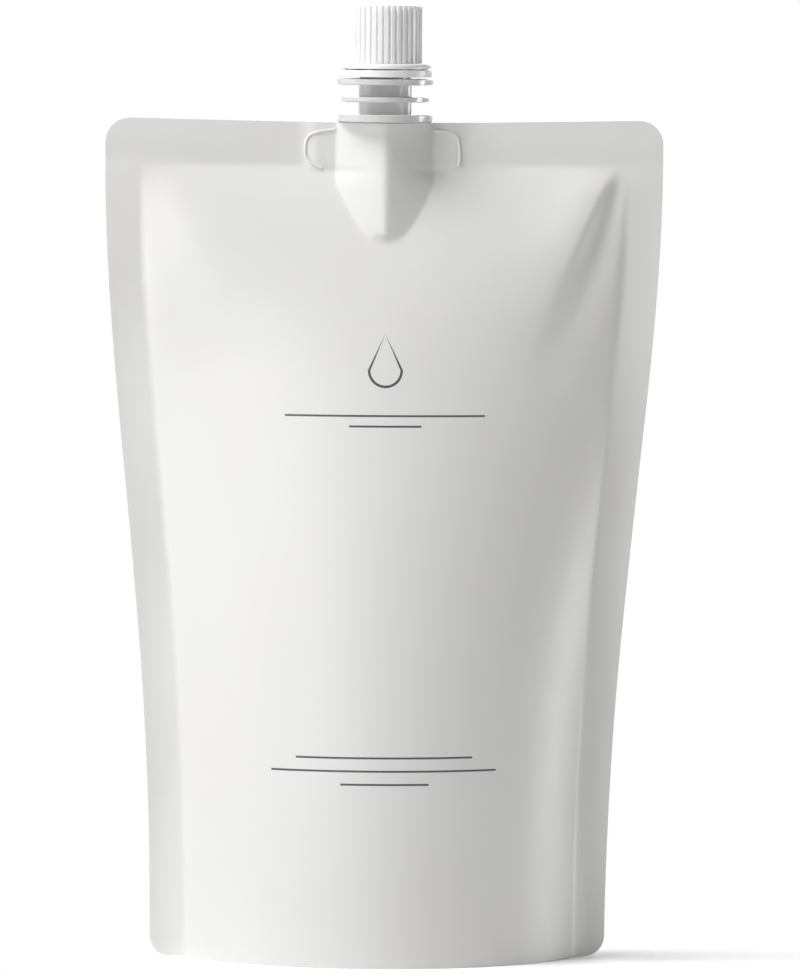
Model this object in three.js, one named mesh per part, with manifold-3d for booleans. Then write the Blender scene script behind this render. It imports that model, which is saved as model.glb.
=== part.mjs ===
// Hand soap refill pack: a filled stand-up film pouch with a centre spout, a screw cap with its liner, and a
// tamper band.
// Sizes are in millimetres. +X is to the viewer's right, the front faces -Y and +Z is up.
// The origin lies on the floor, under the middle of the pouch.

import * as THREE from "three";
import { mergeVertices } from "three/addons/utils/BufferGeometryUtils.js";
import Module from "manifold-3d";

const wasm = await Module();
wasm.setup();

// The pouch as it is cut and sealed
const POUCH_WIDTH = 140;
const POUCH_HEIGHT = 210.8;
const SIDE_SEAL = 9;
const TOP_SEAL = 11.6;
const SEAL_THICKNESS = 0.6;
const TOP_CORNER_RADIUS = 6;
const BOTTOM_CORNER_RADIUS = 5;
const TOP_EDGE_DIP = 0.9;

// The pouch as it is filled
const BASE_HALF_DEPTH = 31;
const BULGE_POWER = 2.35;
const SHOULDER_HEIGHT = 52;
const SHOULDER_POWER = 7;
const LEFT_FLAP_LEAN = THREE.MathUtils.degToRad(8);
const RIGHT_FLAP_LEAN = THREE.MathUtils.degToRad(24);

// The folds that run down and inwards from the upper corners, as shares of the panel's depth at their top
const FOLD_LENGTH = 72;
const FOLD_START_INSET = 0.8;
const FOLD_END_INSET = 21;
const FOLD_CURVE = 0.8;
const FOLD_TOP_FLANK = 4.5;
const FOLD_LOW_FLANK = 14;
const FOLD_OUTER_POWER = 1.5;
const FOLD_FADE_SHARE = 0.6;
const FOLD_LOW_SHARE = 0.6;
const FRONT_LEFT_FOLD = 0.08;
const FRONT_RIGHT_FOLD = 0.85;
const BACK_FOLD = 0.5;

// The bottom gusset, folded up between the panels
const GUSSET_HEIGHT = 40;
const FOOT_HALF_LENGTH = 27;
const GUSSET_POWER = 1.6;
const SKIRT_WALL = 0.9;

// The spout's weld base, a canoe with thin fins, and the film pressed round it
const BORE_RADIUS = 5;
const CANOE_WALL = 2;
const CANOE_HALF_LENGTH = 11.6;
const RIDGE_ROUNDING = 0.34;
const FIN_LENGTH = 5;
const FIN_THICKNESS = 0.6;
const FIN_FADE = 2;
const WELD_RIB_COUNT = 4;
const WELD_RIB_HEIGHT = 1.5;
const WELD_RIB_DEPTH = 0.35;
const SPOUT_CLEARANCE = 0.3;
const FILM_WALL = 0.4;
const TENT_KNEE_DROP = 4.1;
const TENT_LENGTH = 19.7;
const TENT_TIP_ROUNDING = 0.12;

// The spout's neck and its three filling-rail flanges
const NECK_WIDTH = 13;
const NECK_CORNER_RADIUS = 1.6;
const LOWER_FLANGE_RADIUS = 11.9;
const LOWER_FLANGE_THICKNESS = 1.9;
const MIDDLE_FLANGE_RADIUS = 11.05;
const MIDDLE_FLANGE_THICKNESS = 1.3;
const UPPER_FLANGE_RADIUS = 12;
const UPPER_FLANGE_THICKNESS = 1.5;
const LOWER_RAIL_GAP = 3.1;
const UPPER_RAIL_GAP = 3;
const THREADED_NECK_RADIUS = 6.45;
const THREADED_NECK_HEIGHT = 16;
const RIM_ROUNDING = 0.4;
const BEAD_DEPTH = 1.3;
const BEAD_HEIGHT = 0.8;
const BEAD_LIFT = 1.5;

// The thread, right-handed, so that the cap rises as it turns anticlockwise from above
const THREAD_PITCH = 3;
const THREAD_DEPTH = 0.9;
const THREAD_ROOT_WIDTH = 1.2;
const THREAD_CREST_WIDTH = 0.7;
const THREAD_FLANK_GAP = 0.3;
const THREAD_CREST_GAP = 0.4;
const THREAD_EMBED = 0.3;
const THREAD_RUN_OUT = 0.12;
const NECK_THREAD_LIFT = 5.6;
const NECK_THREAD_TURNS = 2.25;
const CAP_THREAD_LIFT = 2.1;
const CAP_THREAD_TURNS = 2.1;

// The cap
const CAP_WALL = 0.85;
const CAP_TOP_THICKNESS = 1.4;
const CAP_TOP_ROUNDING = 1.3;
const RIB_COUNT = 36;
const RIB_DEPTH = 0.58;
const RIB_CREST_SHARE = 0.56;
const RIB_GROOVE_SHARE = 0.16;
const COLLAR_RADIUS = 11.4;
const COLLAR_HEIGHT = 1.4;
const COLLAR_ROUNDING = 0.9;

// The liner disc that the cap presses on the spout's rim
const LINER_THICKNESS = 1;
const LINER_GAP = 0.1;
const LINER_SIDE_CLEARANCE = 0.3;

// The tamper band, left on the neck once its bridges have parted from the cap
const BAND_RADIUS = 11.7;
const BAND_HEIGHT = 1.5;
const BAND_GAP = 0.55;
const BAND_SEAT = 0.5;
const BAND_BEAD_CLEARANCE = 0.3;
const BAND_LIP_CLEARANCE = 0.5;
const BAND_LIP_HEIGHT = 0.55;
const BRIDGE_COUNT = 8;
const BRIDGE_WIDTH = 1;
const BRIDGE_HEIGHT = 0.35;
const BRIDGE_WALL = 1.2;

// Facets
const ROUND_SEGMENTS = 56;
const NECK_SEGMENTS = 32;
const ARC_STEPS = 3;
const BODY_ROWS = 16;
const BODY_ROW_POWER = 0.8;

// What follows from the sizes above
const PANEL_HALF = POUCH_WIDTH / 2 - SIDE_SEAL;
const SEAL_LINE = POUCH_HEIGHT - TOP_SEAL;
const TOP_EDGE_AT_SPOUT = POUCH_HEIGHT - TOP_EDGE_DIP;
const LOWER_FLANGE_Z = TOP_EDGE_AT_SPOUT + SPOUT_CLEARANCE;
const MIDDLE_FLANGE_Z = LOWER_FLANGE_Z + LOWER_FLANGE_THICKNESS + LOWER_RAIL_GAP;
const UPPER_FLANGE_Z = MIDDLE_FLANGE_Z + MIDDLE_FLANGE_THICKNESS + UPPER_RAIL_GAP;
const THREADED_NECK_Z = UPPER_FLANGE_Z + UPPER_FLANGE_THICKNESS;
const RIM_Z = THREADED_NECK_Z + THREADED_NECK_HEIGHT;
const CANOE_Z = SEAL_LINE + SPOUT_CLEARANCE;
const CANOE_HEIGHT = LOWER_FLANGE_Z - CANOE_Z;
const CANOE_RIDGE = BORE_RADIUS + CANOE_WALL;
const POCKET_EDGE = CANOE_HALF_LENGTH + FIN_LENGTH + SPOUT_CLEARANCE;
const FILM_GROWTH = SPOUT_CLEARANCE + FILM_WALL;
const THREAD_CREST_RADIUS = THREADED_NECK_RADIUS + THREAD_DEPTH;
const CAP_BORE_RADIUS = THREAD_CREST_RADIUS + THREAD_CREST_GAP;
const CAP_THREAD_CREST_RADIUS = THREADED_NECK_RADIUS + THREAD_CREST_GAP;
const NECK_THREAD_Z = THREADED_NECK_Z + NECK_THREAD_LIFT;
const CAP_GROOVE_RADIUS = CAP_BORE_RADIUS + CAP_WALL;
const CAP_RADIUS = CAP_GROOVE_RADIUS + RIB_DEPTH;
const CAP_CEILING_Z = RIM_Z + LINER_GAP + LINER_THICKNESS + LINER_GAP;
const CAP_TOP_Z = CAP_CEILING_Z + CAP_TOP_THICKNESS;
const BAND_Z = THREADED_NECK_Z + BAND_SEAT;
const CAP_Z = BAND_Z + BAND_HEIGHT + BAND_GAP;
const BEAD_RADIUS = THREADED_NECK_RADIUS + BEAD_DEPTH;
const BEAD_Z = THREADED_NECK_Z + BEAD_LIFT;

const { clamp, degToRad, lerp, smoothstep } = THREE.MathUtils;
const FRONT = -1;
const BACK = 1;

// Solids

function signedVolume(points, faces) {
  const a = new THREE.Vector3();
  const b = new THREE.Vector3();
  const c = new THREE.Vector3();
  let volume = 0;
  for (let i = 0; i < faces.length; i += 3) {
    a.fromArray(points, 3 * faces[i]);
    b.fromArray(points, 3 * faces[i + 1]);
    c.fromArray(points, 3 * faces[i + 2]);
    volume += a.dot(b.cross(c)) / 6;
  }
  return volume;
}

// A closed surface as a solid. Its faces may be given inside out.
function solidOf(points, faces) {
  const triVerts = Uint32Array.from(faces);
  if (signedVolume(points, triVerts) < 0) {
    triVerts.reverse();
  }
  const vertProperties = Float32Array.from(points);
  return new wasm.Manifold(new wasm.Mesh({ numProp: 3, vertProperties, triVerts }));
}

function solidFromGeometry(geometry) {
  geometry.deleteAttribute("normal");
  geometry.deleteAttribute("uv");
  const merged = mergeVertices(geometry, 1e-4);
  const faces = [];
  const index = merged.index.array;
  for (let i = 0; i < index.length; i += 3) {
    const [a, b, c] = index.slice(i, i + 3);
    if (a !== b && b !== c && c !== a) {
      faces.push(a, b, c);
    }
  }
  return solidOf(merged.attributes.position.array, faces);
}

function geometryFromSolid(solid) {
  const mesh = solid.getMesh();
  const geometry = new THREE.BufferGeometry();
  geometry.setAttribute("position", new THREE.BufferAttribute(mesh.vertProperties, 3));
  geometry.setIndex(new THREE.BufferAttribute(mesh.triVerts, 1));
  const flat = geometry.toNonIndexed();
  flat.computeVertexNormals();
  return flat;
}

// A solid skinned over rings of [x, y, z] points, all of one even length. Each end is closed by a ladder
// whose rungs join the ring's two halves, so an end ring is convex or as thin as a sheet.
function skinned(rings) {
  const count = rings[0].length;
  const last = (rings.length - 1) * count;
  const faces = [];
  const quad = (a, b, c, d) => faces.push(a, b, c, a, c, d);
  for (let start = 0; start < last; start += count) {
    for (let i = 0; i < count; i++) {
      const next = (i + 1) % count;
      quad(start + i, start + next, start + count + next, start + count + i);
    }
  }
  for (let i = 0; i < count / 2 - 1; i++) {
    const across = count - 1 - i;
    quad(i + 1, i, across, across - 1);
    quad(last + i, last + i + 1, last + across - 1, last + across);
  }
  return solidOf(rings.flat(2), faces);
}

// A profile of [radius, height] corners turned about the Z axis.
function turned(profile, segments) {
  const points = profile.map(([radius, height]) => new THREE.Vector2(radius, height));
  return solidFromGeometry(new THREE.LatheGeometry(points, segments).rotateX(Math.PI / 2));
}

function disc(radius, z, height, segments) {
  return turned([[0, z], [radius, z], [radius, z + height], [0, z + height]], segments);
}

function extruded(outline, z, height) {
  const shape = new THREE.Shape(outline.map(([x, y]) => new THREE.Vector2(x, y)));
  const geometry = new THREE.ExtrudeGeometry(shape, { depth: height, bevelEnabled: false });
  return solidFromGeometry(geometry.translate(0, 0, z));
}

// The corners of an arc about a centre, from one angle to another.
function arc(radius, centreX, centreY, fromDegrees, toDegrees) {
  const corners = [];
  for (let i = 0; i <= ARC_STEPS; i++) {
    const angle = degToRad(lerp(fromDegrees, toDegrees, i / ARC_STEPS));
    corners.push([centreX + radius * Math.cos(angle), centreY + radius * Math.sin(angle)]);
  }
  return corners;
}

// The film's shape. s is a place across the flat film, measured from the pouch's middle, and z a height.

// How far each panel stands out from the seams' plane, at the middle of the pouch.
function bulge(z) {
  return z >= SEAL_LINE ? 0 : BASE_HALF_DEPTH * (1 - (Math.max(z, 0) / SEAL_LINE) ** BULGE_POWER);
}

// The film doesn't stretch, so a panel that bulges keeps its arc length and draws its seams in.
// This is half the angle of the arc that is as long as the panel and rises by the bulge at z.
function arcHalfAngle(z) {
  let low = 1e-4;
  let high = Math.PI / 2;
  for (let i = 0; i < 40; i++) {
    const angle = (low + high) / 2;
    if ((PANEL_HALF * (1 - Math.cos(angle))) / angle < bulge(z)) {
      low = angle;
    } else {
      high = angle;
    }
  }
  return (low + high) / 2;
}

// A point of the panel's arc, as its place from the middle and its depth from the seams' plane.
function arcPoint(s, z) {
  const halfAngle = arcHalfAngle(z);
  const radius = PANEL_HALF / halfAngle;
  const angle = s / radius;
  return [radius * Math.sin(angle), radius * (Math.cos(angle) - Math.cos(halfAngle))];
}

// The corner fold's valley, from near the seam at the top seal to well inside it lower down.
function foldPlace(z) {
  const down = clamp((SEAL_LINE - z) / FOLD_LENGTH, 0, 1);
  return PANEL_HALF - lerp(FOLD_START_INSET, FOLD_END_INSET, down ** FOLD_CURVE);
}

// The width of the corner fold's inner flank, which is steepest at the top seal.
function foldFlank(z) {
  return lerp(FOLD_TOP_FLANK, FOLD_LOW_FLANK, clamp((SEAL_LINE - z) / FOLD_LENGTH, 0, 1));
}

// The share of the panel's depth that the corner fold takes: most in its valley, less over its inner flank
// and over a gentle outer one that ends at the seam.
function foldShare(s, z, face) {
  const up = clamp(1 - (SEAL_LINE - z) / FOLD_LENGTH, 0, 1);
  const past = Math.abs(s) - foldPlace(z);
  const inner = 1 - smoothstep(-past, 0, foldFlank(z));
  const outer = 1 - clamp(past / (PANEL_HALF - foldPlace(z)), 0, 1) ** FOLD_OUTER_POWER;
  const frontFold = s < 0 ? FRONT_LEFT_FOLD : FRONT_RIGHT_FOLD;
  const deepest = (face === FRONT ? frontFold : BACK_FOLD) * lerp(FOLD_LOW_SHARE, 1, up);
  return deepest * smoothstep(up, 0, FOLD_FADE_SHARE) * (past < 0 ? inner : outer);
}

// Under the top seal the panel is a wedge with steep shoulders; lower down it is a round arc.
function panelDepth(s, z, face) {
  const [, round] = arcPoint(s, z);
  const wedge = bulge(z) * (1 - Math.abs(s / PANEL_HALF) ** SHOULDER_POWER);
  const depth = lerp(round, wedge, smoothstep(z, SEAL_LINE - SHOULDER_HEIGHT, SEAL_LINE));
  return depth * (1 - foldShare(s, z, face));
}

// A tent's cross-section: 1 on its rounded ridge and 0 at its edge, which is at 1 along it.
function ridgeShare(along, rounding) {
  const fall = (Math.hypot(along, rounding) - rounding) / (Math.hypot(1, rounding) - rounding);
  return clamp(1 - fall, 0, 1);
}

// The film's outer face, measured from the seams' plane. It is pressed round the spout's canoe and fins,
// and below them it hangs off the canoe's ridge as a tent that runs out into the panel.
function filmDepth(s, z, face) {
  const away = Math.abs(s);
  const plain = panelDepth(s, z, face) + SEAL_THICKNESS / 2;
  const overFins = 1 - smoothstep(away, POCKET_EDGE, POCKET_EDGE + FIN_FADE);
  const pressed = overFins * smoothstep(z, SEAL_LINE - FIN_FADE, SEAL_LINE);
  const film = Math.max(plain, lerp(plain, FIN_THICKNESS / 2 + FILM_GROWTH, pressed));
  const narrowing = Math.sqrt(clamp((z - SEAL_LINE + TENT_LENGTH) / (TENT_LENGTH - TENT_KNEE_DROP), 0, 1));
  const tentHalf = (CANOE_HALF_LENGTH + FILM_GROWTH) * narrowing;
  if (away >= tentHalf) {
    return film;
  }
  const rounding = lerp(TENT_TIP_ROUNDING, RIDGE_ROUNDING, smoothstep(z, SEAL_LINE - TENT_LENGTH, SEAL_LINE));
  return film + Math.max(0, CANOE_RIDGE + FILM_GROWTH - film) * ridgeShare(away / tentHalf, rounding);
}

// How far a rounded corner draws the side in, at a distance from the end of the pouch.
function cornerInset(radius, distance) {
  return distance >= radius ? 0 : radius - Math.sqrt(radius ** 2 - (radius - distance) ** 2);
}

function topEdge(s) {
  return POUCH_HEIGHT - TOP_EDGE_DIP * (1 - clamp(Math.abs(s) / PANEL_HALF, 0, 1) ** 1.5);
}

// A column's number says where it runs: up to 1 over the spout's weld, to 2 at the start of the corner
// fold's flank, to 3 at its valley, to 4 at the side seam and to 5 over the side seal. It is negative to
// the left of the middle.
function placeAcross(column, z) {
  const away = Math.abs(column);
  const weld = POCKET_EDGE + FIN_FADE;
  const fold = foldPlace(z);
  const toFlank = (fold - foldFlank(z) - weld) * clamp(away - 1, 0, 1);
  const toFold = foldFlank(z) * clamp(away - 2, 0, 1);
  const toSeam = (PANEL_HALF - fold) * clamp(away - 3, 0, 1);
  return Math.sign(column) * (weld * Math.min(away, 1) + toFlank + toFold + toSeam);
}

// A point of the film's face. Above the seal line the rows follow the top edge, and beside the seams the
// side seals lean back where the pouch is filled.
function filmPoint(column, row, face) {
  const side = Math.sign(column);
  const s = placeAcross(column, row);
  const inset = cornerInset(BOTTOM_CORNER_RADIUS, row) + cornerInset(TOP_CORNER_RADIUS, POUCH_HEIGHT - row);
  const flap = clamp(Math.abs(column) - 4, 0, 1) * (SIDE_SEAL - inset);
  const overSeal = Math.max(0, row - SEAL_LINE) / TOP_SEAL;
  const z = overSeal ? lerp(SEAL_LINE, topEdge(s + side * flap), overSeal) : row;
  const [x] = arcPoint(s, z);
  const atBase = side < 0 ? LEFT_FLAP_LEAN : RIGHT_FLAP_LEAN;
  const lean = atBase * (1 - clamp(z / SEAL_LINE, 0, 1));
  return [x + side * flap * Math.cos(lean), flap * Math.sin(lean) + face * filmDepth(s, z, face), z];
}

function filmColumns() {
  const canoe = [0.14, 0.34, 0.62, 1].map((share) => share * (CANOE_HALF_LENGTH + FILM_GROWTH));
  const weld = [...canoe, POCKET_EDGE].map((s) => s / (POCKET_EDGE + FIN_FADE));
  const half = [...weld, 1, 1.4, 1.75, 2, 2.35, 2.7, 3, 3.5, 4, 4.45, 5];
  return [...half.map((column) => -column).reverse(), 0, ...half];
}

// Heights up the film, closest together at the rounded corners and down the spout's tent.
function filmRows() {
  const corner = [0, 22.5, 45, 67.5, 90].map((degrees) => 1 - Math.cos(degToRad(degrees)));
  const tip = SEAL_LINE - TENT_LENGTH;
  const knee = SEAL_LINE - TENT_KNEE_DROP;
  const rows = corner.map((share) => share * BOTTOM_CORNER_RADIUS);
  for (let i = 1; i <= BODY_ROWS; i++) {
    rows.push(lerp(BOTTOM_CORNER_RADIUS, tip, (i / BODY_ROWS) ** BODY_ROW_POWER));
  }
  for (const share of [0.08, 0.22, 0.42, 0.68, 1]) {
    rows.push(lerp(tip, knee, share));
  }
  rows.push(SEAL_LINE - FIN_FADE, SEAL_LINE);
  rows.push(...corner.reverse().map((share) => POUCH_HEIGHT - share * TOP_CORNER_RADIUS));
  return rows;
}

// The pouch's outer form, as rings that run along the front and come back along the back.
function pouchForm() {
  const columns = filmColumns();
  const rings = filmRows().map((row) => {
    const front = columns.map((column) => filmPoint(column, row, FRONT));
    const back = columns.map((column) => filmPoint(column, row, BACK));
    return [...front, ...back.reverse()];
  });
  return skinned(rings);
}

// The space inside the skirt that the pouch stands on, a wall's thickness in from its outer face.
function insideSkirt() {
  const steps = 8;
  const rings = [0, 0.25, 0.5, 0.75, 1].map((share) => {
    const z = lerp(-1, GUSSET_HEIGHT + 1, share);
    const [halfWidth] = arcPoint(PANEL_HALF, z);
    const narrower = 1 - (2 * SKIRT_WALL) / halfWidth;
    const shallower = 1 - SKIRT_WALL / bulge(z);
    const front = [];
    for (let i = 0; i <= 2 * steps; i++) {
      const [x, depth] = arcPoint((PANEL_HALF * (i - steps)) / steps, z);
      front.push([x * narrower, -Math.max(depth * shallower, SKIRT_WALL / 4), z]);
    }
    const back = front.map(([x, y]) => [x, -y, z]);
    return [...front, ...back.reverse()];
  });
  return skinned(rings);
}

// The gusset's arch at both ends of the base, seen from the front and as deep as the pouch.
function gussetArches() {
  const steps = 10;
  const [reach] = arcPoint(PANEL_HALF, GUSSET_HEIGHT);
  const arch = [[FOOT_HALF_LENGTH, -2]];
  for (let i = 0; i <= steps; i++) {
    const share = i / steps;
    arch.push([lerp(FOOT_HALF_LENGTH, reach, share), GUSSET_HEIGHT * share ** GUSSET_POWER]);
  }
  arch.push([reach, -2]);
  const depth = 3 * BASE_HALF_DEPTH;
  const atSide = (side) => {
    const outline = arch.map(([x, z]) => [side * x, z]);
    return extruded(outline, -depth / 2, depth).rotate([90, 0, 0]);
  };
  return atSide(-1).add(atSide(1));
}

// The weld base's outline from above: a canoe with a fin at each end. grow widens it to the pocket that the
// film leaves for it, and sink thins it between its ribs.
function canoeOutline(grow, sink) {
  const length = CANOE_HALF_LENGTH + grow;
  const fin = FIN_THICKNESS / 2 + grow;
  const canoeSide = [0, 0.14, 0.34, 0.62].map((along) => {
    const depth = fin + (CANOE_RIDGE + grow - fin) * ridgeShare(along, RIDGE_ROUNDING);
    return [along * length, depth - sink];
  });
  const half = [...canoeSide, [length, fin], [length + FIN_LENGTH, fin]];
  const mirrored = (x, y) => half.map((corner) => [x * corner[0], y * corner[1]]);
  const frontLeft = mirrored(-1, -1).reverse();
  const backLeft = mirrored(-1, 1).slice(1);
  return [...frontLeft, ...mirrored(1, -1).slice(1), ...mirrored(1, 1).reverse(), ...backLeft];
}

function pouch() {
  const pocket = extruded(canoeOutline(SPOUT_CLEARANCE, 0), SEAL_LINE, TOP_SEAL + 1);
  return pouchForm().subtract(insideSkirt().intersect(gussetArches())).subtract(pocket);
}

// A thread, as a ridge that runs round and up and sinks towards its root at both ends.
function threadRidge({ rootRadius, crestRadius, startZ, turns, startTurn }) {
  const steps = Math.round(turns * NECK_SEGMENTS);
  const rings = [];
  for (let i = 0; i <= steps; i++) {
    const turn = (i / steps) * turns;
    const angle = 2 * Math.PI * (startTurn + turn);
    const z = startZ + turn * THREAD_PITCH;
    const fade = clamp(Math.min(turn, turns - turn) / THREAD_RUN_OUT, 0.1, 1);
    const crest = lerp(rootRadius, crestRadius, fade);
    const section = [
      [rootRadius, -THREAD_ROOT_WIDTH / 2],
      [crest, -THREAD_CREST_WIDTH / 2],
      [crest, THREAD_CREST_WIDTH / 2],
      [rootRadius, THREAD_ROOT_WIDTH / 2],
    ];
    rings.push(section.map(([radius, up]) => [radius * Math.cos(angle), radius * Math.sin(angle), z + up]));
  }
  return skinned(rings);
}

function neckThread() {
  return threadRidge({
    rootRadius: THREADED_NECK_RADIUS - THREAD_EMBED,
    crestRadius: THREAD_CREST_RADIUS,
    startZ: NECK_THREAD_Z,
    turns: NECK_THREAD_TURNS,
    startTurn: 0,
  });
}

// The cap's thread lies under the neck's, a flank's gap away from it, on the same helix.
function capThread() {
  const drop = (THREAD_ROOT_WIDTH + THREAD_CREST_WIDTH) / 2 + THREAD_FLANK_GAP;
  const startZ = CAP_Z + CAP_THREAD_LIFT;
  return threadRidge({
    rootRadius: CAP_BORE_RADIUS + THREAD_EMBED,
    crestRadius: CAP_THREAD_CREST_RADIUS,
    startZ,
    turns: CAP_THREAD_TURNS,
    startTurn: (startZ + drop - NECK_THREAD_Z) / THREAD_PITCH,
  });
}

// The spout

function weldBase() {
  const step = (CANOE_HEIGHT - WELD_RIB_HEIGHT) / (WELD_RIB_COUNT - 1);
  let base = extruded(canoeOutline(0, WELD_RIB_DEPTH), CANOE_Z, CANOE_HEIGHT);
  for (let i = 0; i < WELD_RIB_COUNT; i++) {
    base = base.add(extruded(canoeOutline(0, 0), CANOE_Z + i * step, WELD_RIB_HEIGHT));
  }
  return base;
}

function squareNeck() {
  const straight = NECK_WIDTH / 2 - NECK_CORNER_RADIUS;
  const outline = [];
  for (const [x, y, from] of [[1, 1, 0], [-1, 1, 90], [-1, -1, 180], [1, -1, 270]]) {
    outline.push(...arc(NECK_CORNER_RADIUS, x * straight, y * straight, from, from + 90));
  }
  return extruded(outline, LOWER_FLANGE_Z, THREADED_NECK_Z - LOWER_FLANGE_Z);
}

// The round neck above the flanges, with the bead that holds the tamper band down.
function threadedNeck() {
  const radius = THREADED_NECK_RADIUS;
  const profile = [
    [0, UPPER_FLANGE_Z],
    [radius, UPPER_FLANGE_Z],
    [radius, BEAD_Z - BEAD_HEIGHT / 2],
    [BEAD_RADIUS, BEAD_Z],
    [BEAD_RADIUS, BEAD_Z + BEAD_HEIGHT / 2],
    [radius, BEAD_Z + BEAD_HEIGHT],
    ...arc(RIM_ROUNDING, radius - RIM_ROUNDING, RIM_Z - RIM_ROUNDING, 0, 90),
    [0, RIM_Z],
  ];
  return turned(profile, NECK_SEGMENTS);
}

function spout() {
  return weldBase()
    .add(disc(LOWER_FLANGE_RADIUS, LOWER_FLANGE_Z, LOWER_FLANGE_THICKNESS, ROUND_SEGMENTS))
    .add(disc(MIDDLE_FLANGE_RADIUS, MIDDLE_FLANGE_Z, MIDDLE_FLANGE_THICKNESS, ROUND_SEGMENTS))
    .add(disc(UPPER_FLANGE_RADIUS, UPPER_FLANGE_Z, UPPER_FLANGE_THICKNESS, ROUND_SEGMENTS))
    .add(squareNeck())
    .add(threadedNeck())
    .add(neckThread())
    .subtract(disc(BORE_RADIUS, CANOE_Z - 1, RIM_Z - CANOE_Z + 2, NECK_SEGMENTS));
}

// The cap

// A ring of the cap's grip, with narrow grooves between wide ribs, cut off at a limiting radius.
function gripRing(limit, z) {
  const pitch = (2 * Math.PI) / RIB_COUNT;
  const crest = RIB_CREST_SHARE / 2;
  const groove = 0.5 - RIB_GROOVE_SHARE / 2;
  const section = [
    [-crest, CAP_RADIUS],
    [crest, CAP_RADIUS],
    [groove, CAP_GROOVE_RADIUS],
    [1 - groove, CAP_GROOVE_RADIUS],
  ];
  const ring = [];
  for (let rib = 0; rib < RIB_COUNT; rib++) {
    for (const [share, radius] of section) {
      const angle = (rib + share) * pitch;
      const reach = Math.min(radius, limit);
      ring.push([reach * Math.cos(angle), reach * Math.sin(angle), z]);
    }
  }
  return ring;
}

function capGrip() {
  const shoulder = CAP_TOP_Z - CAP_TOP_ROUNDING;
  const top = arc(CAP_TOP_ROUNDING, CAP_RADIUS - CAP_TOP_ROUNDING, shoulder, 0, 90);
  const foot = CAP_Z + COLLAR_HEIGHT / 2;
  const rings = [gripRing(CAP_GROOVE_RADIUS, foot), gripRing(CAP_RADIUS, foot + COLLAR_HEIGHT / 4)];
  return skinned([...rings, ...top.map(([radius, z]) => gripRing(radius, z))]);
}

function capCollar() {
  const shoulder = CAP_Z + COLLAR_HEIGHT - COLLAR_ROUNDING;
  const profile = [
    [0, CAP_Z],
    [COLLAR_RADIUS, CAP_Z],
    ...arc(COLLAR_ROUNDING, COLLAR_RADIUS - COLLAR_ROUNDING, shoulder, 0, 90),
    [0, CAP_Z + COLLAR_HEIGHT],
  ];
  return turned(profile, ROUND_SEGMENTS);
}

function cap() {
  return capGrip()
    .add(capCollar())
    .subtract(disc(CAP_BORE_RADIUS, CAP_Z - 1, CAP_CEILING_Z - CAP_Z + 1, NECK_SEGMENTS))
    .add(capThread());
}

function capLiner() {
  return disc(CAP_BORE_RADIUS - LINER_SIDE_CLEARANCE, RIM_Z + LINER_GAP, LINER_THICKNESS, NECK_SEGMENTS);
}

// The tamper band. Its inner lip catches under the neck's bead when the cap goes up, and the stubs of its
// parted bridges stand on its top.
function tamperBand() {
  const top = BAND_Z + BAND_HEIGHT;
  const overBead = BEAD_RADIUS + BAND_BEAD_CLEARANCE;
  const lip = THREADED_NECK_RADIUS + BAND_LIP_CLEARANCE;
  const profile = [
    [lip, BAND_Z],
    [BAND_RADIUS, BAND_Z],
    [BAND_RADIUS, top],
    [overBead, top],
    [overBead, BAND_Z + BAND_LIP_HEIGHT],
    [lip, BAND_Z + BAND_LIP_HEIGHT / 2],
    [lip, BAND_Z],
  ];
  let band = turned(profile, ROUND_SEGMENTS);
  for (let i = 0; i < BRIDGE_COUNT; i++) {
    const bridge = new THREE.BoxGeometry(BRIDGE_WALL, BRIDGE_WIDTH, 2 * BRIDGE_HEIGHT)
      .translate(COLLAR_RADIUS - BRIDGE_WALL / 2, 0, top)
      .rotateZ(((i + 0.5) * 2 * Math.PI) / BRIDGE_COUNT);
    band = band.add(solidFromGeometry(bridge));
  }
  return band;
}

// Materials

const pearlFilm = new THREE.MeshStandardMaterial({ color: 0xdedddb, roughness: 0.42, metalness: 0 });
const naturalPolyethylene = new THREE.MeshStandardMaterial({
  color: 0xe9ebea,
  roughness: 0.25,
  metalness: 0,
});
const whitePolypropylene = new THREE.MeshStandardMaterial({ color: 0xf3f3f2, roughness: 0.35, metalness: 0 });
const linerFoam = new THREE.MeshStandardMaterial({ color: 0xf0efec, roughness: 0.8, metalness: 0 });

function piece(name, solid, material) {
  const mesh = new THREE.Mesh(geometryFromSolid(solid), material);
  mesh.name = name;
  return mesh;
}

const refillPack = new THREE.Group();
refillPack.name = "refill_pack";
refillPack.add(
  piece("pouch", pouch(), pearlFilm),
  piece("spout", spout(), naturalPolyethylene),
  piece("tamper_band", tamperBand(), whitePolypropylene),
  piece("cap_liner", capLiner(), linerFoam),
  piece("cap", cap(), whitePolypropylene),
);

export default refillPack;
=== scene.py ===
"""A hand soap refill pack: a filled stand-up film pouch with a pouring spout, a tamper band and a screw cap.

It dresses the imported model, so every place is in the model's frame, in metres. +X is to the viewer's right,
the front faces -Y and +Z is up.
"""

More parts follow.
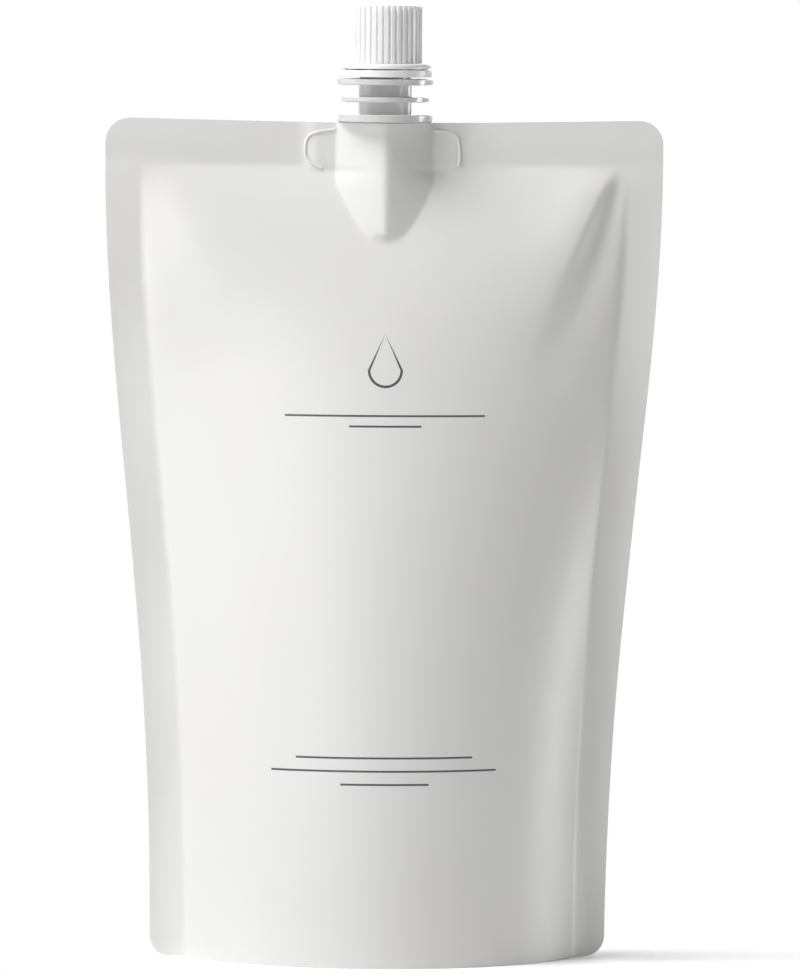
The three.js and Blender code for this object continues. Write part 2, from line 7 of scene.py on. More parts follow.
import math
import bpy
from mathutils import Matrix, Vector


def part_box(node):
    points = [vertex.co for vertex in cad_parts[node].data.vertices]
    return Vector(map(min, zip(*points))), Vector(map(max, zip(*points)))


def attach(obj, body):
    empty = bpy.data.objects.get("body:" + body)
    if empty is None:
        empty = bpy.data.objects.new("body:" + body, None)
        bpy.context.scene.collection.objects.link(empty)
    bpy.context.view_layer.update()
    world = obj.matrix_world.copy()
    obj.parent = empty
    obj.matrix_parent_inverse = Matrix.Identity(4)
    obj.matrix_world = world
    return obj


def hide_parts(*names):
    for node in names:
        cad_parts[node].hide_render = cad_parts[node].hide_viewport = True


bl_info = {
    "name": "Hand soap refill pack",
    "version": (1, 0, 0),
    "blender": (4, 5, 0),
    "location": "3D View > Sidebar > Refill Pack",
    "description": "Builds the pouch, the spout, the screw cap and a plain studio around the packed model",
    "category": "Object",
}

from functools import partial

import bmesh
import bpy
import numpy as np
from bpy.props import FloatProperty, FloatVectorProperty, IntProperty, PointerProperty
from mathutils import Matrix, Vector

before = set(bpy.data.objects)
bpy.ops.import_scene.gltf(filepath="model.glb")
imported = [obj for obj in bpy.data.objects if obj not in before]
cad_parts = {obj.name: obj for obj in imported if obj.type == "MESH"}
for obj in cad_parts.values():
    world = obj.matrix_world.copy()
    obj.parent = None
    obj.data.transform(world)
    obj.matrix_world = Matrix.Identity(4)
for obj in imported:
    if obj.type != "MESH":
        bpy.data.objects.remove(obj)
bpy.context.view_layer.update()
FRONT, BACK = -1, 1
MERGE_DISTANCE = 1e-6


# Small helpers


def mm(millimetres):
    return millimetres / 1000


def lerp(low, high, share):
    return low + (high - low) * share


def smoothstep(value, low, high):
    share = np.clip((value - low) / (high - low), 0, 1)
    return share * share * (3 - 2 * share)


def linear(hex_colour):
    """An sRGB hex colour such as 0xdedddb as linear red, green and blue, with an alpha of 1."""
    parts = [(hex_colour >> shift & 255) / 255 for shift in (16, 8, 0)]
    return [*(part / 12.92 if part <= 0.04045 else ((part + 0.055) / 1.055) ** 2.4 for part in parts), 1.0]


def size(name, description, millimetres):
    shown = {"precision": 5, "subtype": "DISTANCE", "unit": "LENGTH"}
    return FloatProperty(name=name, description=description, default=mm(millimetres), min=0, **shown)


def angle(name, description, degrees):
    return FloatProperty(name=name, description=description, default=math.radians(degrees), subtype="ANGLE")


def share(name, description, default):
    return FloatProperty(name=name, description=description, default=default, min=0, max=1, subtype="FACTOR")


def number(name, description, default):
    return IntProperty(name=name, description=description, default=default, min=1, subtype="UNSIGNED")


def colour(name, description, hex_colour):
    return FloatVectorProperty(
        name=name, description=description, default=linear(hex_colour), size=4, min=0, max=1, subtype="COLOR"
    )


def extent(node, corner, axis):
    """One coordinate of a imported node's box in millimetres."""
    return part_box(node)[corner][axis] * 1000


# What a user may change


class PouchSizes(bpy.types.PropertyGroup):
    """Sizes of the film pouch, as it is cut and sealed, and as it is filled"""

    width: size("Flat width", "Width of the flat pouch over its side seals", 2 * extent("pouch", 1, 0))
    height: size("Height", "Height of the pouch at its upper corners", extent("pouch", 1, 2))
    side_seal: size("Side seal", "Width of the flat seal down each side", 9)
    top_seal: size("Top seal", "Height of the flat seal along the top", 11.6)
    seal_thickness: size("Seal thickness", "Thickness of the two films where they are sealed together", 0.6)
    top_corner: size("Top corner radius", "Rounding of the upper corners", 6)
    bottom_corner: size("Bottom corner radius", "Rounding of the lower corners", 5)
    top_dip: size("Top edge dip", "How far the top edge sinks towards the spout", 0.9)
    half_depth: size("Half depth", "How far each panel stands out from the seams at the base", 31)
    shoulder: size("Shoulder height", "Height under the top seal in which the arc becomes a wedge", 52)
    fold_length: size("Fold length", "How far the corner folds run down from the top seal", 72)
    fold_start: size("Fold start", "Distance of the corner fold from the seam at the top seal", 0.3)
    fold_end: size("Fold end", "Distance of the corner fold from the seam at its lower end", 21)
    fold_flank: size("Fold flank", "Width of the fold's inner flank at its lower end", 16)
    fold_flank_top: size("Fold flank at the top", "Width of the fold's inner flank at the top seal", 3.8)
    fold_ridge: size("Fold ridge", "How far the film stands up beside the steep end of a corner fold", 1.3)
    left_fold: share("Left fold", "Share of the bulge that the front's left corner fold takes", 0.08)
    right_fold: share("Right fold", "Share of the bulge that the front's right corner fold takes", 0.85)
    back_folds: share("Back folds", "Share of the bulge that the back's corner folds take", 0.5)
    left_lean: angle("Left lean", "How far the left side seal leans back at the base", 8)
    right_lean: angle("Right lean", "How far the right side seal leans back at the base", 24)
    gusset: size("Gusset height", "Height of the bottom gusset at the side seams", 40)
    foot: size("Foot half length", "Half the length of the flat foot", 27)
    skirt: size("Skirt wall", "Thickness of the skirt that the pouch stands on", 0.9)
    film: size("Film thickness", "Thickness of the film over the spout's weld base", 0.4)


class SpoutSizes(bpy.types.PropertyGroup):
    """Sizes of the spout with its filling-rail flanges"""

    bore: size("Bore radius", "Radius of the pouring bore", 5)
    base_height: size("Weld base height", "How far the weld base reaches under the film's edge", 10.4)
    canoe_half: size("Weld base half length", "Half the length of the weld base without its fins", 11.6)
    canoe_ridge: size("Weld base half depth", "Half the depth of the weld base", 7)
    fin: size("Fin length", "Length of the thin fin at each end of the weld base", 5)
    clearance: size("Clearance", "Gap between the spout and the film", 0.3)
    tent: size("Tent length", "How far the film hangs off the weld base as a tent", 19.7)
    neck_width: size("Neck width", "Width over the flats of the square neck", 13)
    neck_corner: size("Neck corner radius", "Rounding of the square neck's corners", 2.6)
    lower_flange: size("Lower flange radius", "Radius of the flange on the film's edge", 11.9)
    lower_thickness: size("Lower flange thickness", "Thickness of the flange on the film's edge", 1.9)
    middle_flange: size("Middle flange radius", "Radius of the flange half-way up the neck", 11.05)
    middle_thickness: size("Middle flange thickness", "Thickness of the flange half-way up the neck", 1.3)
    upper_flange: size("Upper flange radius", "Radius of the flange under the tamper band", 12)
    upper_thickness: size("Upper flange thickness", "Thickness of the flange under the tamper band", 1.5)
    lower_gap: size("Lower rail gap", "Gap between the lower two flanges", 3.1)
    upper_gap: size("Upper rail gap", "Gap between the upper two flanges", 3)
    round_neck: size("Threaded neck radius", "Radius of the round neck under its thread", 6.45)
    thread_lift: size("Thread lift", "Height of the neck's thread over the upper flange", 5.6)
    bead: size("Retaining bead", "How far the bead that holds the tamper band stands out", 1.3)
    bead_lift: size("Bead lift", "Height of the retaining bead over the upper flange", 1.5)


class ClosureSizes(bpy.types.PropertyGroup):
    """Sizes of the screw cap, its thread and the tamper band"""

    rib_count: number("Ribs", "Number of ribs round the cap", 36)
    rib_depth: size("Rib depth", "How deep the grooves between the ribs are", 0.58)
    rib_crest: share("Rib crest", "Share of a rib's pitch that its crest takes", 0.5)
    rib_groove: share("Rib groove", "Share of a rib's pitch that the groove's floor takes", 0.26)
    top_rounding: size("Cap edge rounding", "Rounding of the cap's upper edge", 1.3)
    collar: size("Collar height", "Height of the collar under the ribs", 1.4)
    collar_rounding: size("Collar rounding", "Rounding of the collar's upper edge", 0.9)
    wall: size("Cap wall", "Wall between the cap's bore and the floor of its grooves", 0.85)
    top_wall: size("Cap top", "Thickness of the cap's top", 1.4)
    pitch: size("Thread pitch", "Rise of the thread in one turn", 3)
    thread_depth: size("Thread depth", "How far the thread stands out of the neck", 0.9)
    thread_root: size("Thread root", "Width of the thread at its root", 1.2)
    thread_crest: size("Thread crest", "Width of the thread at its crest", 0.7)
    crest_gap: size("Crest gap", "Gap between a thread's crest and the opposite wall", 0.4)
    flank_gap: size("Flank gap", "Gap between the flanks of the two threads", 0.3)
    bridges: number("Bridges", "Number of bridges on the tamper band", 8)
    bridge_width: size("Bridge width", "Width of a parted bridge", 1)
    bridge_height: size("Bridge height", "Height of a parted bridge's stub", 0.1)


class Finishes(bpy.types.PropertyGroup):
    """Colours of the pack"""

    film: colour("Film", "Pearl white laminated film", 0xE7E7E6)
    film_warm: colour("Film, warmer", "The film's slightly warmer patches", 0xE6E5E2)
    polyethylene: colour("Polyethylene", "Natural polyethylene of the spout", 0xF4F5F4)
    polypropylene: colour("Polypropylene", "White polypropylene of the cap and the band", 0xF8F8F8)
    foam: colour("Liner foam", "White foamed liner", 0xECEBE7)
    ink: colour("Ink", "Dark grey printing ink", 0x4B4C4F)


GROUPS = {"pouch": PouchSizes, "spout": SpoutSizes, "closure": ClosureSizes, "finishes": Finishes}


def settings():
    return bpy.context.scene.refill_pack


# Nodes and meshes


MIX = "ShaderNodeMix"
NOISE = "ShaderNodeTexNoise"
MAP_RANGE = "ShaderNodeMapRange"
# Where a Mix node has its two colours, and where it gives their mix
MIX_FIRST, MIX_SECOND, MIX_RESULT = 6, 7, 2
# Most of a noise's values lie between these two
NOISE_LOW, NOISE_HIGH = 0.3, 0.7


def add_node(tree, kind, *values, result=0, **own):
    """Adds a node with its own settings and gives back one of its outputs, or all where result is None.

    A kind in capitals is the operation of a Math node. The inputs come in order or as a dict. Each takes a
    value or the socket that feeds it, and None leaves it as it is.
    """
    if kind.isupper():
        kind, own = "ShaderNodeMath", {**own, "operation": kind}
    made = tree.nodes.new(kind)
    for name, setting in own.items():
        setattr(made, name, setting)
    inputs = values[0] if values and isinstance(values[0], dict) else dict(enumerate(values))
    for key, value in inputs.items():
        if isinstance(value, bpy.types.NodeSocket):
            tree.links.new(value, made.inputs[key])
        elif value is not None:
            made.inputs[key].default_value = value
    return made.outputs if result is None else made.outputs[result]


def solid(name, points, faces, layers=None):
    """A mesh with merged doubles and faces that point outwards, with a value layer for each of layers."""
    mesh = bpy.data.meshes.new(name)
    mesh.from_pydata(np.asarray(points).tolist(), [], faces)
    for layer, values in (layers or {}).items():
        mesh.attributes.new(layer, "FLOAT", "POINT").data.foreach_set("value", np.asarray(values, np.float32))
    tidy(mesh)
    return mesh


def tidy(mesh):
    work = bmesh.new()
    work.from_mesh(mesh)
    bmesh.ops.remove_doubles(work, verts=work.verts, dist=MERGE_DISTANCE)
    bmesh.ops.dissolve_degenerate(work, edges=work.edges, dist=MERGE_DISTANCE)
    bmesh.ops.recalc_face_normals(work, faces=work.faces)
    work.to_mesh(mesh)
    work.free()


def link(name, data):
    piece = bpy.data.objects.new(name, data)
    bpy.context.scene.collection.objects.link(piece)
    return piece


def evaluated(piece):
    """A plain mesh of the object as its modifiers make it."""
    graph = bpy.context.evaluated_depsgraph_get()
    made = piece.evaluated_get(graph)
    return bpy.data.meshes.new_from_object(made, preserve_all_data_layers=True, depsgraph=graph)


def value_name(socket):
    """The name under which the code gives a tree's input."""
    return socket.name.lower().replace(" ", "_")


def grown(name, tree, points, edges=(), faces=(), **values):
    """A plain mesh that a Geometry Nodes tree grows from the given points, edges and faces."""
    seed_mesh = bpy.data.meshes.new(name)
    seed_mesh.from_pydata([tuple(point) for point in points], edges, faces)
    seed = link(name + "_seed", seed_mesh)
    modifier = seed.modifiers.new("Grow", "NODES")
    modifier.node_group = tree
    for item in tree.interface.items_tree:
        if item.in_out == "INPUT" and value_name(item) in values:
            modifier[item.identifier] = values[value_name(item)]
    mesh = evaluated(seed)
    bpy.data.objects.remove(seed)
    tidy(mesh)
    return mesh


def merged(name, meshes, operation="UNION"):
    """One mesh of several closed meshes, as an exact union, or as the first less the rest."""
    first = link(name, meshes[0])
    tools = [link(name + "_tool", mesh) for mesh in meshes[1:]]
    for tool in tools:
        modifier = first.modifiers.new("Merge", "BOOLEAN")
        modifier.operation = operation
        modifier.solver = "EXACT"
        modifier.object = tool
    mesh = evaluated(first)
    for piece in [first, *tools]:
        bpy.data.objects.remove(piece)
    return mesh


def finish_piece(name, mesh, material, body, nodes=(), sharp=math.radians(35)):
    """Makes a piece of a mesh with its material and its shading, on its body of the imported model."""
    mesh.name = name
    mesh.materials.clear()
    mesh.materials.append(material)
    mesh.shade_smooth()
    mesh.set_sharp_from_angle(angle=sharp)
    piece = link(name, mesh)
    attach(piece, body)
    if nodes:
        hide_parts(*nodes)


def new_tree(name, **inputs):
    """A Geometry Nodes tree with whole and real numbers as inputs, each given with its default.

    With it come the function that adds a node to it and its inputs' sockets.
    """
    tree = bpy.data.node_groups.new(name, "GeometryNodeTree")
    for way in ("INPUT", "OUTPUT"):
        tree.interface.new_socket("Geometry", in_out=way, socket_type="NodeSocketGeometry")
    for key, default in inputs.items():
        kind = "NodeSocketInt" if isinstance(default, int) else "NodeSocketFloat"
        socket = tree.interface.new_socket(key.replace("_", " ").title(), in_out="INPUT", socket_type=kind)
        socket.default_value = default
    tree.interface.new_socket("Material", in_out="INPUT", socket_type="NodeSocketMaterial")
    add = partial(add_node, tree)
    given = add("NodeGroupInput", result=None)
    return tree, add, {value_name(socket): socket for socket in given if socket.name}


def close_tree(add, geometry, material):
    """Ends a tree in real meshes with their material."""
    real = add("GeometryNodeRealizeInstances", geometry)
    dressed = add("GeometryNodeSetMaterial", {"Geometry": real, "Material": material})
    add("NodeGroupOutput", dressed, result=None)


def swept_grid(add, section, steps):
    """A grid with a row for each step and a column for each point of the given section, with its numbers: the
    row as a share of the whole, and the section's radius and height at the column."""
    count = add("GeometryNodeAttributeDomainSize", section, result="Point Count")
    rows = add("ADD", steps, 1.0)
    grid = add("GeometryNodeMeshGrid", {"Vertices X": rows, "Vertices Y": count}, result="Mesh")
    index = add("GeometryNodeInputIndex")
    column = add("MODULO", index, count)
    row = add("FLOOR", add("DIVIDE", index, count))
    wanted = {"Geometry": section, "Value": add("GeometryNodeInputPosition"), "Index": column}
    place = add("GeometryNodeSampleIndex", wanted, data_type="FLOAT_VECTOR")
    radius, _, height = add("ShaderNodeSeparateXYZ", place, result=None)
    return grid, add("DIVIDE", row, steps), radius, height


def bent(add, grid, angle, radius, height):
    """The grid with its points set round the Z axis, welded where it closes on itself."""
    x = add("MULTIPLY", radius, add("COSINE", angle))
    y = add("MULTIPLY", radius, add("SINE", angle))
    place = add("ShaderNodeCombineXYZ", x, y, height)
    moved = add("GeometryNodeSetPosition", {"Geometry": grid, "Position": place})
    return add("GeometryNodeMergeByDistance", {"Geometry": moved, "Distance": MERGE_DISTANCE})


def turned_tree():
    """A section turned about the Z axis. Above the grip's foot its radius is held under a wave of ribs."""
    tree, add, given = new_tree(
        "Turned section with ribs",
        segments=96,
        ribs=0,
        rib_radius=1.0,
        rib_depth=0.0,
        rib_crest=0.5,
        rib_groove=0.2,
        grip_foot=1.0,
    )
    grid, turn, radius, height = swept_grid(add, given["geometry"], given["segments"])
    # 0 in the middle of a rib's crest and 1 in the middle of a groove
    wave = add("FRACT", add("ADD", add("MULTIPLY", turn, given["ribs"]), 0.5))
    away = add("MULTIPLY", add("ABSOLUTE", add("SUBTRACT", wave, 0.5)), 2.0)
    floor = add("SUBTRACT", 1.0, given["rib_groove"])
    flank = {"Value": away, "From Min": given["rib_crest"], "From Max": floor, "To Max": given["rib_depth"]}
    limit = add("SUBTRACT", given["rib_radius"], add(MAP_RANGE, flank))
    ribbed = add("MINIMUM", radius, limit)
    change = add("SUBTRACT", ribbed, radius)
    over_foot = add("GREATER_THAN", height, given["grip_foot"])
    held = add("MULTIPLY_ADD", over_foot, change, radius)
    angle = add("MULTIPLY", turn, math.tau)
    close_tree(add, bent(add, grid, angle, held, height), given["material"])
    return tree


def thread_tree():
    """A section swept up a helix. At both ends it shrinks into the wall over the run-out."""
    tree, add, given = new_tree(
        "Screw thread",
        steps=200,
        turns=2.0,
        start_turn=0.0,
        start_height=0.0,
        root_radius=1.0,
        pitch=1.0,
        run_out=0.1,
    )
    grid, along, depth, up = swept_grid(add, given["geometry"], given["steps"])
    turn = add("MULTIPLY", along, given["turns"])
    to_end = add("MINIMUM", turn, add("SUBTRACT", given["turns"], turn))
    fade = add("MINIMUM", add("DIVIDE", to_end, given["run_out"]), 1.0)
    radius = add("MULTIPLY_ADD", depth, fade, given["root_radius"])
    rise = add("MULTIPLY_ADD", turn, given["pitch"], given["start_height"])
    height = add("MULTIPLY_ADD", up, fade, rise)
    angle = add("MULTIPLY", add("ADD", turn, given["start_turn"]), math.tau)
    close_tree(add, bent(add, grid, angle, radius, height), given["material"])
    return tree


def ring_tree():
    """Copies of a shape in a ring about the Z axis."""
    tree, add, given = new_tree("Ring of copies", copies=8, phase=0.5)
    points = add("GeometryNodePoints", {"Count": given["copies"]})
    place = add("ADD", add("GeometryNodeInputIndex"), given["phase"])
    turn = add("DIVIDE", place, given["copies"])
    rotation = add("ShaderNodeCombineXYZ", {"Z": add("MULTIPLY", turn, math.tau)})
    inputs = {"Points": points, "Instance": given["geometry"], "Rotation": rotation}
    close_tree(add, add("GeometryNodeInstanceOnPoints", inputs), given["material"])
    return tree


def bead_tree():
    """A round bead along a path."""
    tree, add, given = new_tree("Bead along a path", radius=0.001, step=0.001, corners=10)
    path = add("GeometryNodeMeshToCurve", given["geometry"])
    even = add("GeometryNodeResampleCurve", {"Curve": path, "Length": given["step"]}, mode="LENGTH")
    circle = {"Resolution": given["corners"], "Radius": given["radius"]}
    ring = add("GeometryNodeCurvePrimitiveCircle", circle)
    sweep = {"Curve": even, "Profile Curve": ring, "Fill Caps": True}
    close_tree(add, add("GeometryNodeCurveToMesh", sweep), given["material"])
    return tree


def turned(name, points, material, segments=96, **values):
    """A plain mesh turned from a closed section of radii and heights."""
    places = [(radius, 0, height) for radius, height in points]
    return grown(name, turned_tree(), places, segments=segments, material=material, **values)


def arc(radius, centre_r, centre_z, start, end, steps=6):
    """Points of an arc from one angle to another, in degrees."""
    angles = [math.radians(lerp(start, end, i / steps)) for i in range(steps + 1)]
    return [(centre_r + radius * math.cos(angle), centre_z + radius * math.sin(angle)) for angle in angles]


def rim(outer, low, high, edge):
    """The outer part of a ring's section, with small chamfers on its edges."""
    return [(outer - edge, low), (outer, low + edge), (outer, high - edge), (outer - edge, high)]


# Materials


def emptied(owner):
    """The function that adds a node to the cleared tree of a material or a world."""
    owner.use_nodes = True
    owner.node_tree.nodes.clear()
    return partial(add_node, owner.node_tree)


def new_material(name):
    """A material, the function that adds a node to it, and its Object coordinates."""
    material = bpy.data.materials.new(name)
    add = emptied(material)
    return material, add, add("ShaderNodeTexCoord", result="Object")


def uneven(add, place, feature, low, high, detail=2.0):
    """A value that drifts between low and high over features about as wide as the given size in metres."""
    drift = add(NOISE, {"Vector": place, "Scale": 1 / feature, "Detail": detail})
    inputs = {"Value": drift, "From Min": NOISE_LOW, "From Max": NOISE_HIGH, "To Min": low, "To Max": high}
    return add(MAP_RANGE, inputs)


def drifting(add, place, feature, first, second):
    """A colour that drifts between two over features of the given size."""
    inputs = {"Factor": uneven(add, place, feature, 0, 1), MIX_FIRST: first, MIX_SECOND: second}
    return add(MIX, inputs, result=MIX_RESULT, data_type="RGBA")


def embossed(add, place, feature, depth, detail=2.0, under=None, strength=None):
    """A bump of the given depth in metres, with features of the given size, over the bump under it."""
    height = add(NOISE, {"Vector": place, "Scale": 1 / feature, "Detail": detail})
    if strength is not None:
        height = add("MULTIPLY", strength, height)
    return add("ShaderNodeBump", {"Height": height, "Distance": depth, "Strength": 1.0, "Normal": under})


def painted(add, **inputs):
    """Ends a material in a Principled shader with the given inputs."""
    named = {key.replace("_", " ").title().replace("Ior", "IOR"): value for key, value in inputs.items()}
    add("ShaderNodeOutputMaterial", add("ShaderNodeBsdfPrincipled", named), result=None)


# Each printed rule's height and half width, and half the thickness of all
INK_RULES = [(mm(z), mm(half)) for z, half in ((137.2, 25), (134.6, 9), (52.5, 22), (49.2, 28), (45.9, 11))]
RULE_HALF = mm(0.25)
# The drop's middle, the rise to its tip, its outer and inner radius, and the least share of its width
DROP_CENTRE, DROP_TIP, DROP_RADIUS, DROP_INNER = mm(148.5), mm(9), mm(4.4), mm(3.75)
DROP_NARROWEST = 0.02


def ink_mask(add, place):
    """Where the front is printed: a drop in outline over two fine rules, and three fine rules lower down."""
    x, y, z = add("ShaderNodeSeparateXYZ", place, result=None)
    marks = 0.0
    for centre, half_width in INK_RULES:
        across = add("COMPARE", x, 0.0, half_width)
        up = add("COMPARE", z, centre, RULE_HALF)
        marks = add("MAXIMUM", marks, add("MULTIPLY", across, up))
    # The drop is a circle whose upper half narrows to a point.
    rise = add("SUBTRACT", z, DROP_CENTRE)
    upper = add("MAXIMUM", rise, 0.0)
    lower = add("MINIMUM", rise, 0.0)
    narrowed = add("SUBTRACT", 1.0, add("DIVIDE", upper, DROP_TIP))
    widened = add("DIVIDE", x, add("MAXIMUM", narrowed, DROP_NARROWEST))
    reach = add("SQRT", add("MULTIPLY_ADD", lower, lower, add("MULTIPLY", widened, widened)))
    ring = add("MULTIPLY", add("LESS_THAN", reach, DROP_RADIUS), add("GREATER_THAN", reach, DROP_INNER))
    ring = add("MULTIPLY", ring, add("LESS_THAN", upper, DROP_TIP))
    return add("MULTIPLY", add("LESS_THAN", y, 0.0), add("MAXIMUM", marks, ring))


def pearl_film():
    """Pearl white laminated film, gravure printed: a satin face with mica under a clear layer, so it shines
    broadly where it turns to a lamp and darkens quickly where it turns away."""
    material, add, place = new_material("Pearl laminated film")
    finishes = settings().finishes
    base = drifting(add, place, mm(45), finishes.film, finishes.film_warm)
    inputs = {"Factor": ink_mask(add, place), MIX_FIRST: base, MIX_SECOND: finishes.ink}
    printed = add(MIX, inputs, result=MIX_RESULT, data_type="RGBA")
    ripple = embossed(add, place, mm(14), mm(0.035))
    grain = embossed(add, place, mm(1.1), mm(0.004), 3, ripple)
    sealed = add("ShaderNodeAttribute", result="Fac", attribute_name="sealed")
    pressed = embossed(add, place, mm(3.2), mm(0.03), 2, grain, sealed)
    painted(
        add,
        base_color=printed,
        metallic=0.03,
        roughness=uneven(add, place, mm(8), 0.33, 0.41, 3),
        normal=pressed,
        coat_weight=0.12,
        coat_roughness=0.25,
    )
    return material


def moulded(name, tint, grain, roughness, **own):
    """An injection moulding: an even colour, a fine spark-eroded grain and a slight change of gloss."""
    material, add, place = new_material(name)
    darkest, gloss_change = 0.97, 0.03
    darker = [*(channel * darkest for channel in tint[:3]), 1.0]
    painted(
        add,
        base_color=drifting(add, place, mm(6), tint, darker),
        roughness=uneven(add, place, mm(3), roughness - gloss_change, roughness + gloss_change),
        normal=embossed(add, place, grain, mm(0.004), 3),
        ior=1.5,
        **own,
    )
    return material


def natural_polyethylene():
    """Natural low-density polyethylene, injection moulded: milky and half see-through, so thin walls look
    grey, thick corners white and edges dark."""
    tint = settings().finishes.polyethylene
    return moulded("Natural polyethylene", tint, mm(0.6), 0.2, transmission_weight=0.35)


def white_polypropylene():
    """White polypropylene, injection moulded: opaque, bright and satin, and light enters it a little."""
    tint, depth = settings().finishes.polypropylene, (mm(0.4),) * 3
    glow = {"subsurface_weight": 0.05, "subsurface_radius": depth}
    return moulded("White polypropylene", tint, mm(0.5), 0.34, **glow)


def liner_foam():
    """White foamed polyethylene, die-cut: matt, with fine closed cells."""
    return moulded("Foamed liner", settings().finishes.foam, mm(0.35), 0.75)


# The film


def waves(place, rows, turn=1):
    """A sum of waves, each given as its share, its length and its phase."""
    return sum(share * np.sin(place / length + turn * phase) for share, length, phase in rows)


class Film:
    """The film's shape: a place across the flat film and a height give a point of a panel's outer face."""

    # How late the bulge fades upwards, and how square the wedge and the rounded edges are
    bulge_power, wedge_power, edge_power, flap_power = 2.35, 8, 1.5, 2.2
    # The shares of a fold's length between which it deepens
    fold_fade = (0.2, 0.95)
    # Where under the seal line the ridge beside a fold rises and sinks, and how wide it is
    ridge_rise, ridge_sink, ridge_width = (0, mm(7)), (mm(9), mm(34)), mm(9)
    # The film over the fins: how it fades sideways and how far it reaches under the seal line
    fin_half, fin_fade, fin_cover = mm(0.3), mm(4), mm(2)
    # The tent: how far under the seal line it has its full width, its ridge's rounding, and its tip's height
    tent_knee, tent_rounding, tent_tip = mm(4.1), (0.06, 0.12), mm(3)
    # The seals' waves beside the panels and over them, how far they move the film and where they begin
    side_waves, side_sway, seam_cover = [(1, mm(9.5), 0.8), (0.6, mm(17), 1)], mm(0.3), mm(2)
    top_waves, top_sway, top_still = [(1, mm(11), 0.6), (0.5, mm(6.1), 0)], mm(0.12), (mm(17), mm(26))
    # The line that the sealing jaw presses: places across and distances over the seal line
    press_line = [(mm(-61), mm(-45), mm(-20), mm(20), mm(61)), (mm(2), mm(1), mm(-3.5), mm(0.8), mm(0.8))]
    press_width, press_depth = mm(3.4), mm(0.22)
    # The weld base's ribs under the film: their heights, half width, depth and fade at their ends
    rib_heights, rib_half, rib_depth, rib_fade = (mm(204.9), mm(207.6)), mm(0.5), mm(0.12), mm(2)
    # The smallest angle and half width that are divided by, and the steps of the search for an angle
    least_angle, least_half, halvings = 1e-4, 1e-9, 40

    def __init__(self):
        self.pouch = settings().pouch
        self.spout = settings().spout
        self.panel_half = self.pouch.width / 2 - self.pouch.side_seal
        self.seal_line = self.pouch.height - self.pouch.top_seal
        self.growth = self.spout.clearance + self.pouch.film
        self.pocket_edge = self.spout.canoe_half + self.spout.fin + self.spout.clearance

    def bulge(self, z):
        filled = np.clip(z, 0, self.seal_line) / self.seal_line
        return self.pouch.half_depth * (1 - filled**self.bulge_power)

    def half_angle(self, z):
        """Half the angle of the arc that is as long as the panel and rises by the bulge at z."""
        low, high = np.full(np.shape(z), self.least_angle), np.full(np.shape(z), math.pi / 2)
        for _ in range(self.halvings):
            angle = (low + high) / 2
            flat = self.panel_half * (1 - np.cos(angle)) / angle < self.bulge(z)
            low, high = np.where(flat, angle, low), np.where(flat, high, angle)
        return (low + high) / 2

    def arc(self, s, z):
        """The place from the middle, and the depth, of a panel that bulges but isn't stretched."""
        half_angle = self.half_angle(z)
        radius = self.panel_half / half_angle
        return radius * np.sin(s / radius), radius * (np.cos(s / radius) - np.cos(half_angle))

    def fold_place(self, z):
        down = np.clip((self.seal_line - z) / self.pouch.fold_length, 0, 1)
        return self.panel_half - lerp(self.pouch.fold_start, self.pouch.fold_end, down)

    def folds(self, s, z, face):
        """The share of the depth that the corner folds take, and how far the film stands up beside them."""
        up = np.clip((z - self.seal_line) / self.pouch.fold_length + 1, 0, 1)
        flank = lerp(self.pouch.fold_flank, self.pouch.fold_flank_top, up)
        past = np.abs(s) - self.fold_place(z)
        inner = 1 - smoothstep(-past, 0, flank)
        outer = 1 - np.clip(past / (self.panel_half - self.fold_place(z)), 0, 1) ** 2
        back = self.pouch.back_folds
        left, right = (self.pouch.left_fold, self.pouch.right_fold) if face == FRONT else (back, back)
        side = np.where(s < 0, left, right)
        under = self.seal_line - z
        near_top = smoothstep(under, *self.ridge_rise) * (1 - smoothstep(under, *self.ridge_sink))
        beside = np.exp(-(((past + flank) / self.ridge_width) ** 2)) * (1 - inner) * np.where(past < 0, 1, 0)
        taken = side * smoothstep(up, *self.fold_fade) * np.where(past < 0, inner, outer)
        return taken, side * near_top * beside

    def panel_depth(self, s, z, face):
        _, rounded = self.arc(s, z)
        wedge = self.bulge(z) * (1 - np.abs(s / self.panel_half) ** self.wedge_power)
        depth = lerp(rounded, wedge, smoothstep(z, self.seal_line - self.pouch.shoulder, self.seal_line))
        taken, ridge = self.folds(s, z, face)
        return depth * (1 - taken) + self.pouch.fold_ridge * ridge

    def depth(self, s, z, face):
        """The outer face's distance from the seams' plane, with the tent that hangs off the weld base."""
        away = np.abs(s)
        plain = self.panel_depth(s, z, face) + self.pouch.seal_thickness / 2
        over_fins = 1 - smoothstep(away, self.pocket_edge, self.pocket_edge + self.fin_fade)
        pressed = over_fins * smoothstep(z, self.seal_line - self.fin_cover, self.seal_line)
        film = np.maximum(plain, lerp(plain, self.fin_half + self.growth, pressed))
        tip = self.seal_line - self.spout.tent
        narrowing = np.sqrt(np.clip((z - tip) / (self.spout.tent - self.tent_knee), 0, 1))
        half = np.maximum((self.spout.canoe_half + self.growth) * narrowing, self.least_half)
        rounding = lerp(*self.tent_rounding, smoothstep(z, tip, self.seal_line))
        fall = (np.hypot(away / half, rounding) - rounding) / (np.hypot(1, rounding) - rounding)
        height = np.maximum(0, self.spout.canoe_ridge + self.growth - film)
        ridge = height * smoothstep(z, tip, tip + self.tent_tip) * np.clip(1 - fall, 0, 1)
        return film + np.where(away < half, ridge, 0)

    def top_edge(self, s):
        out = np.clip(np.abs(s) / self.panel_half, 0, 1) ** self.edge_power
        return self.pouch.height - self.pouch.top_dip * (1 - out)

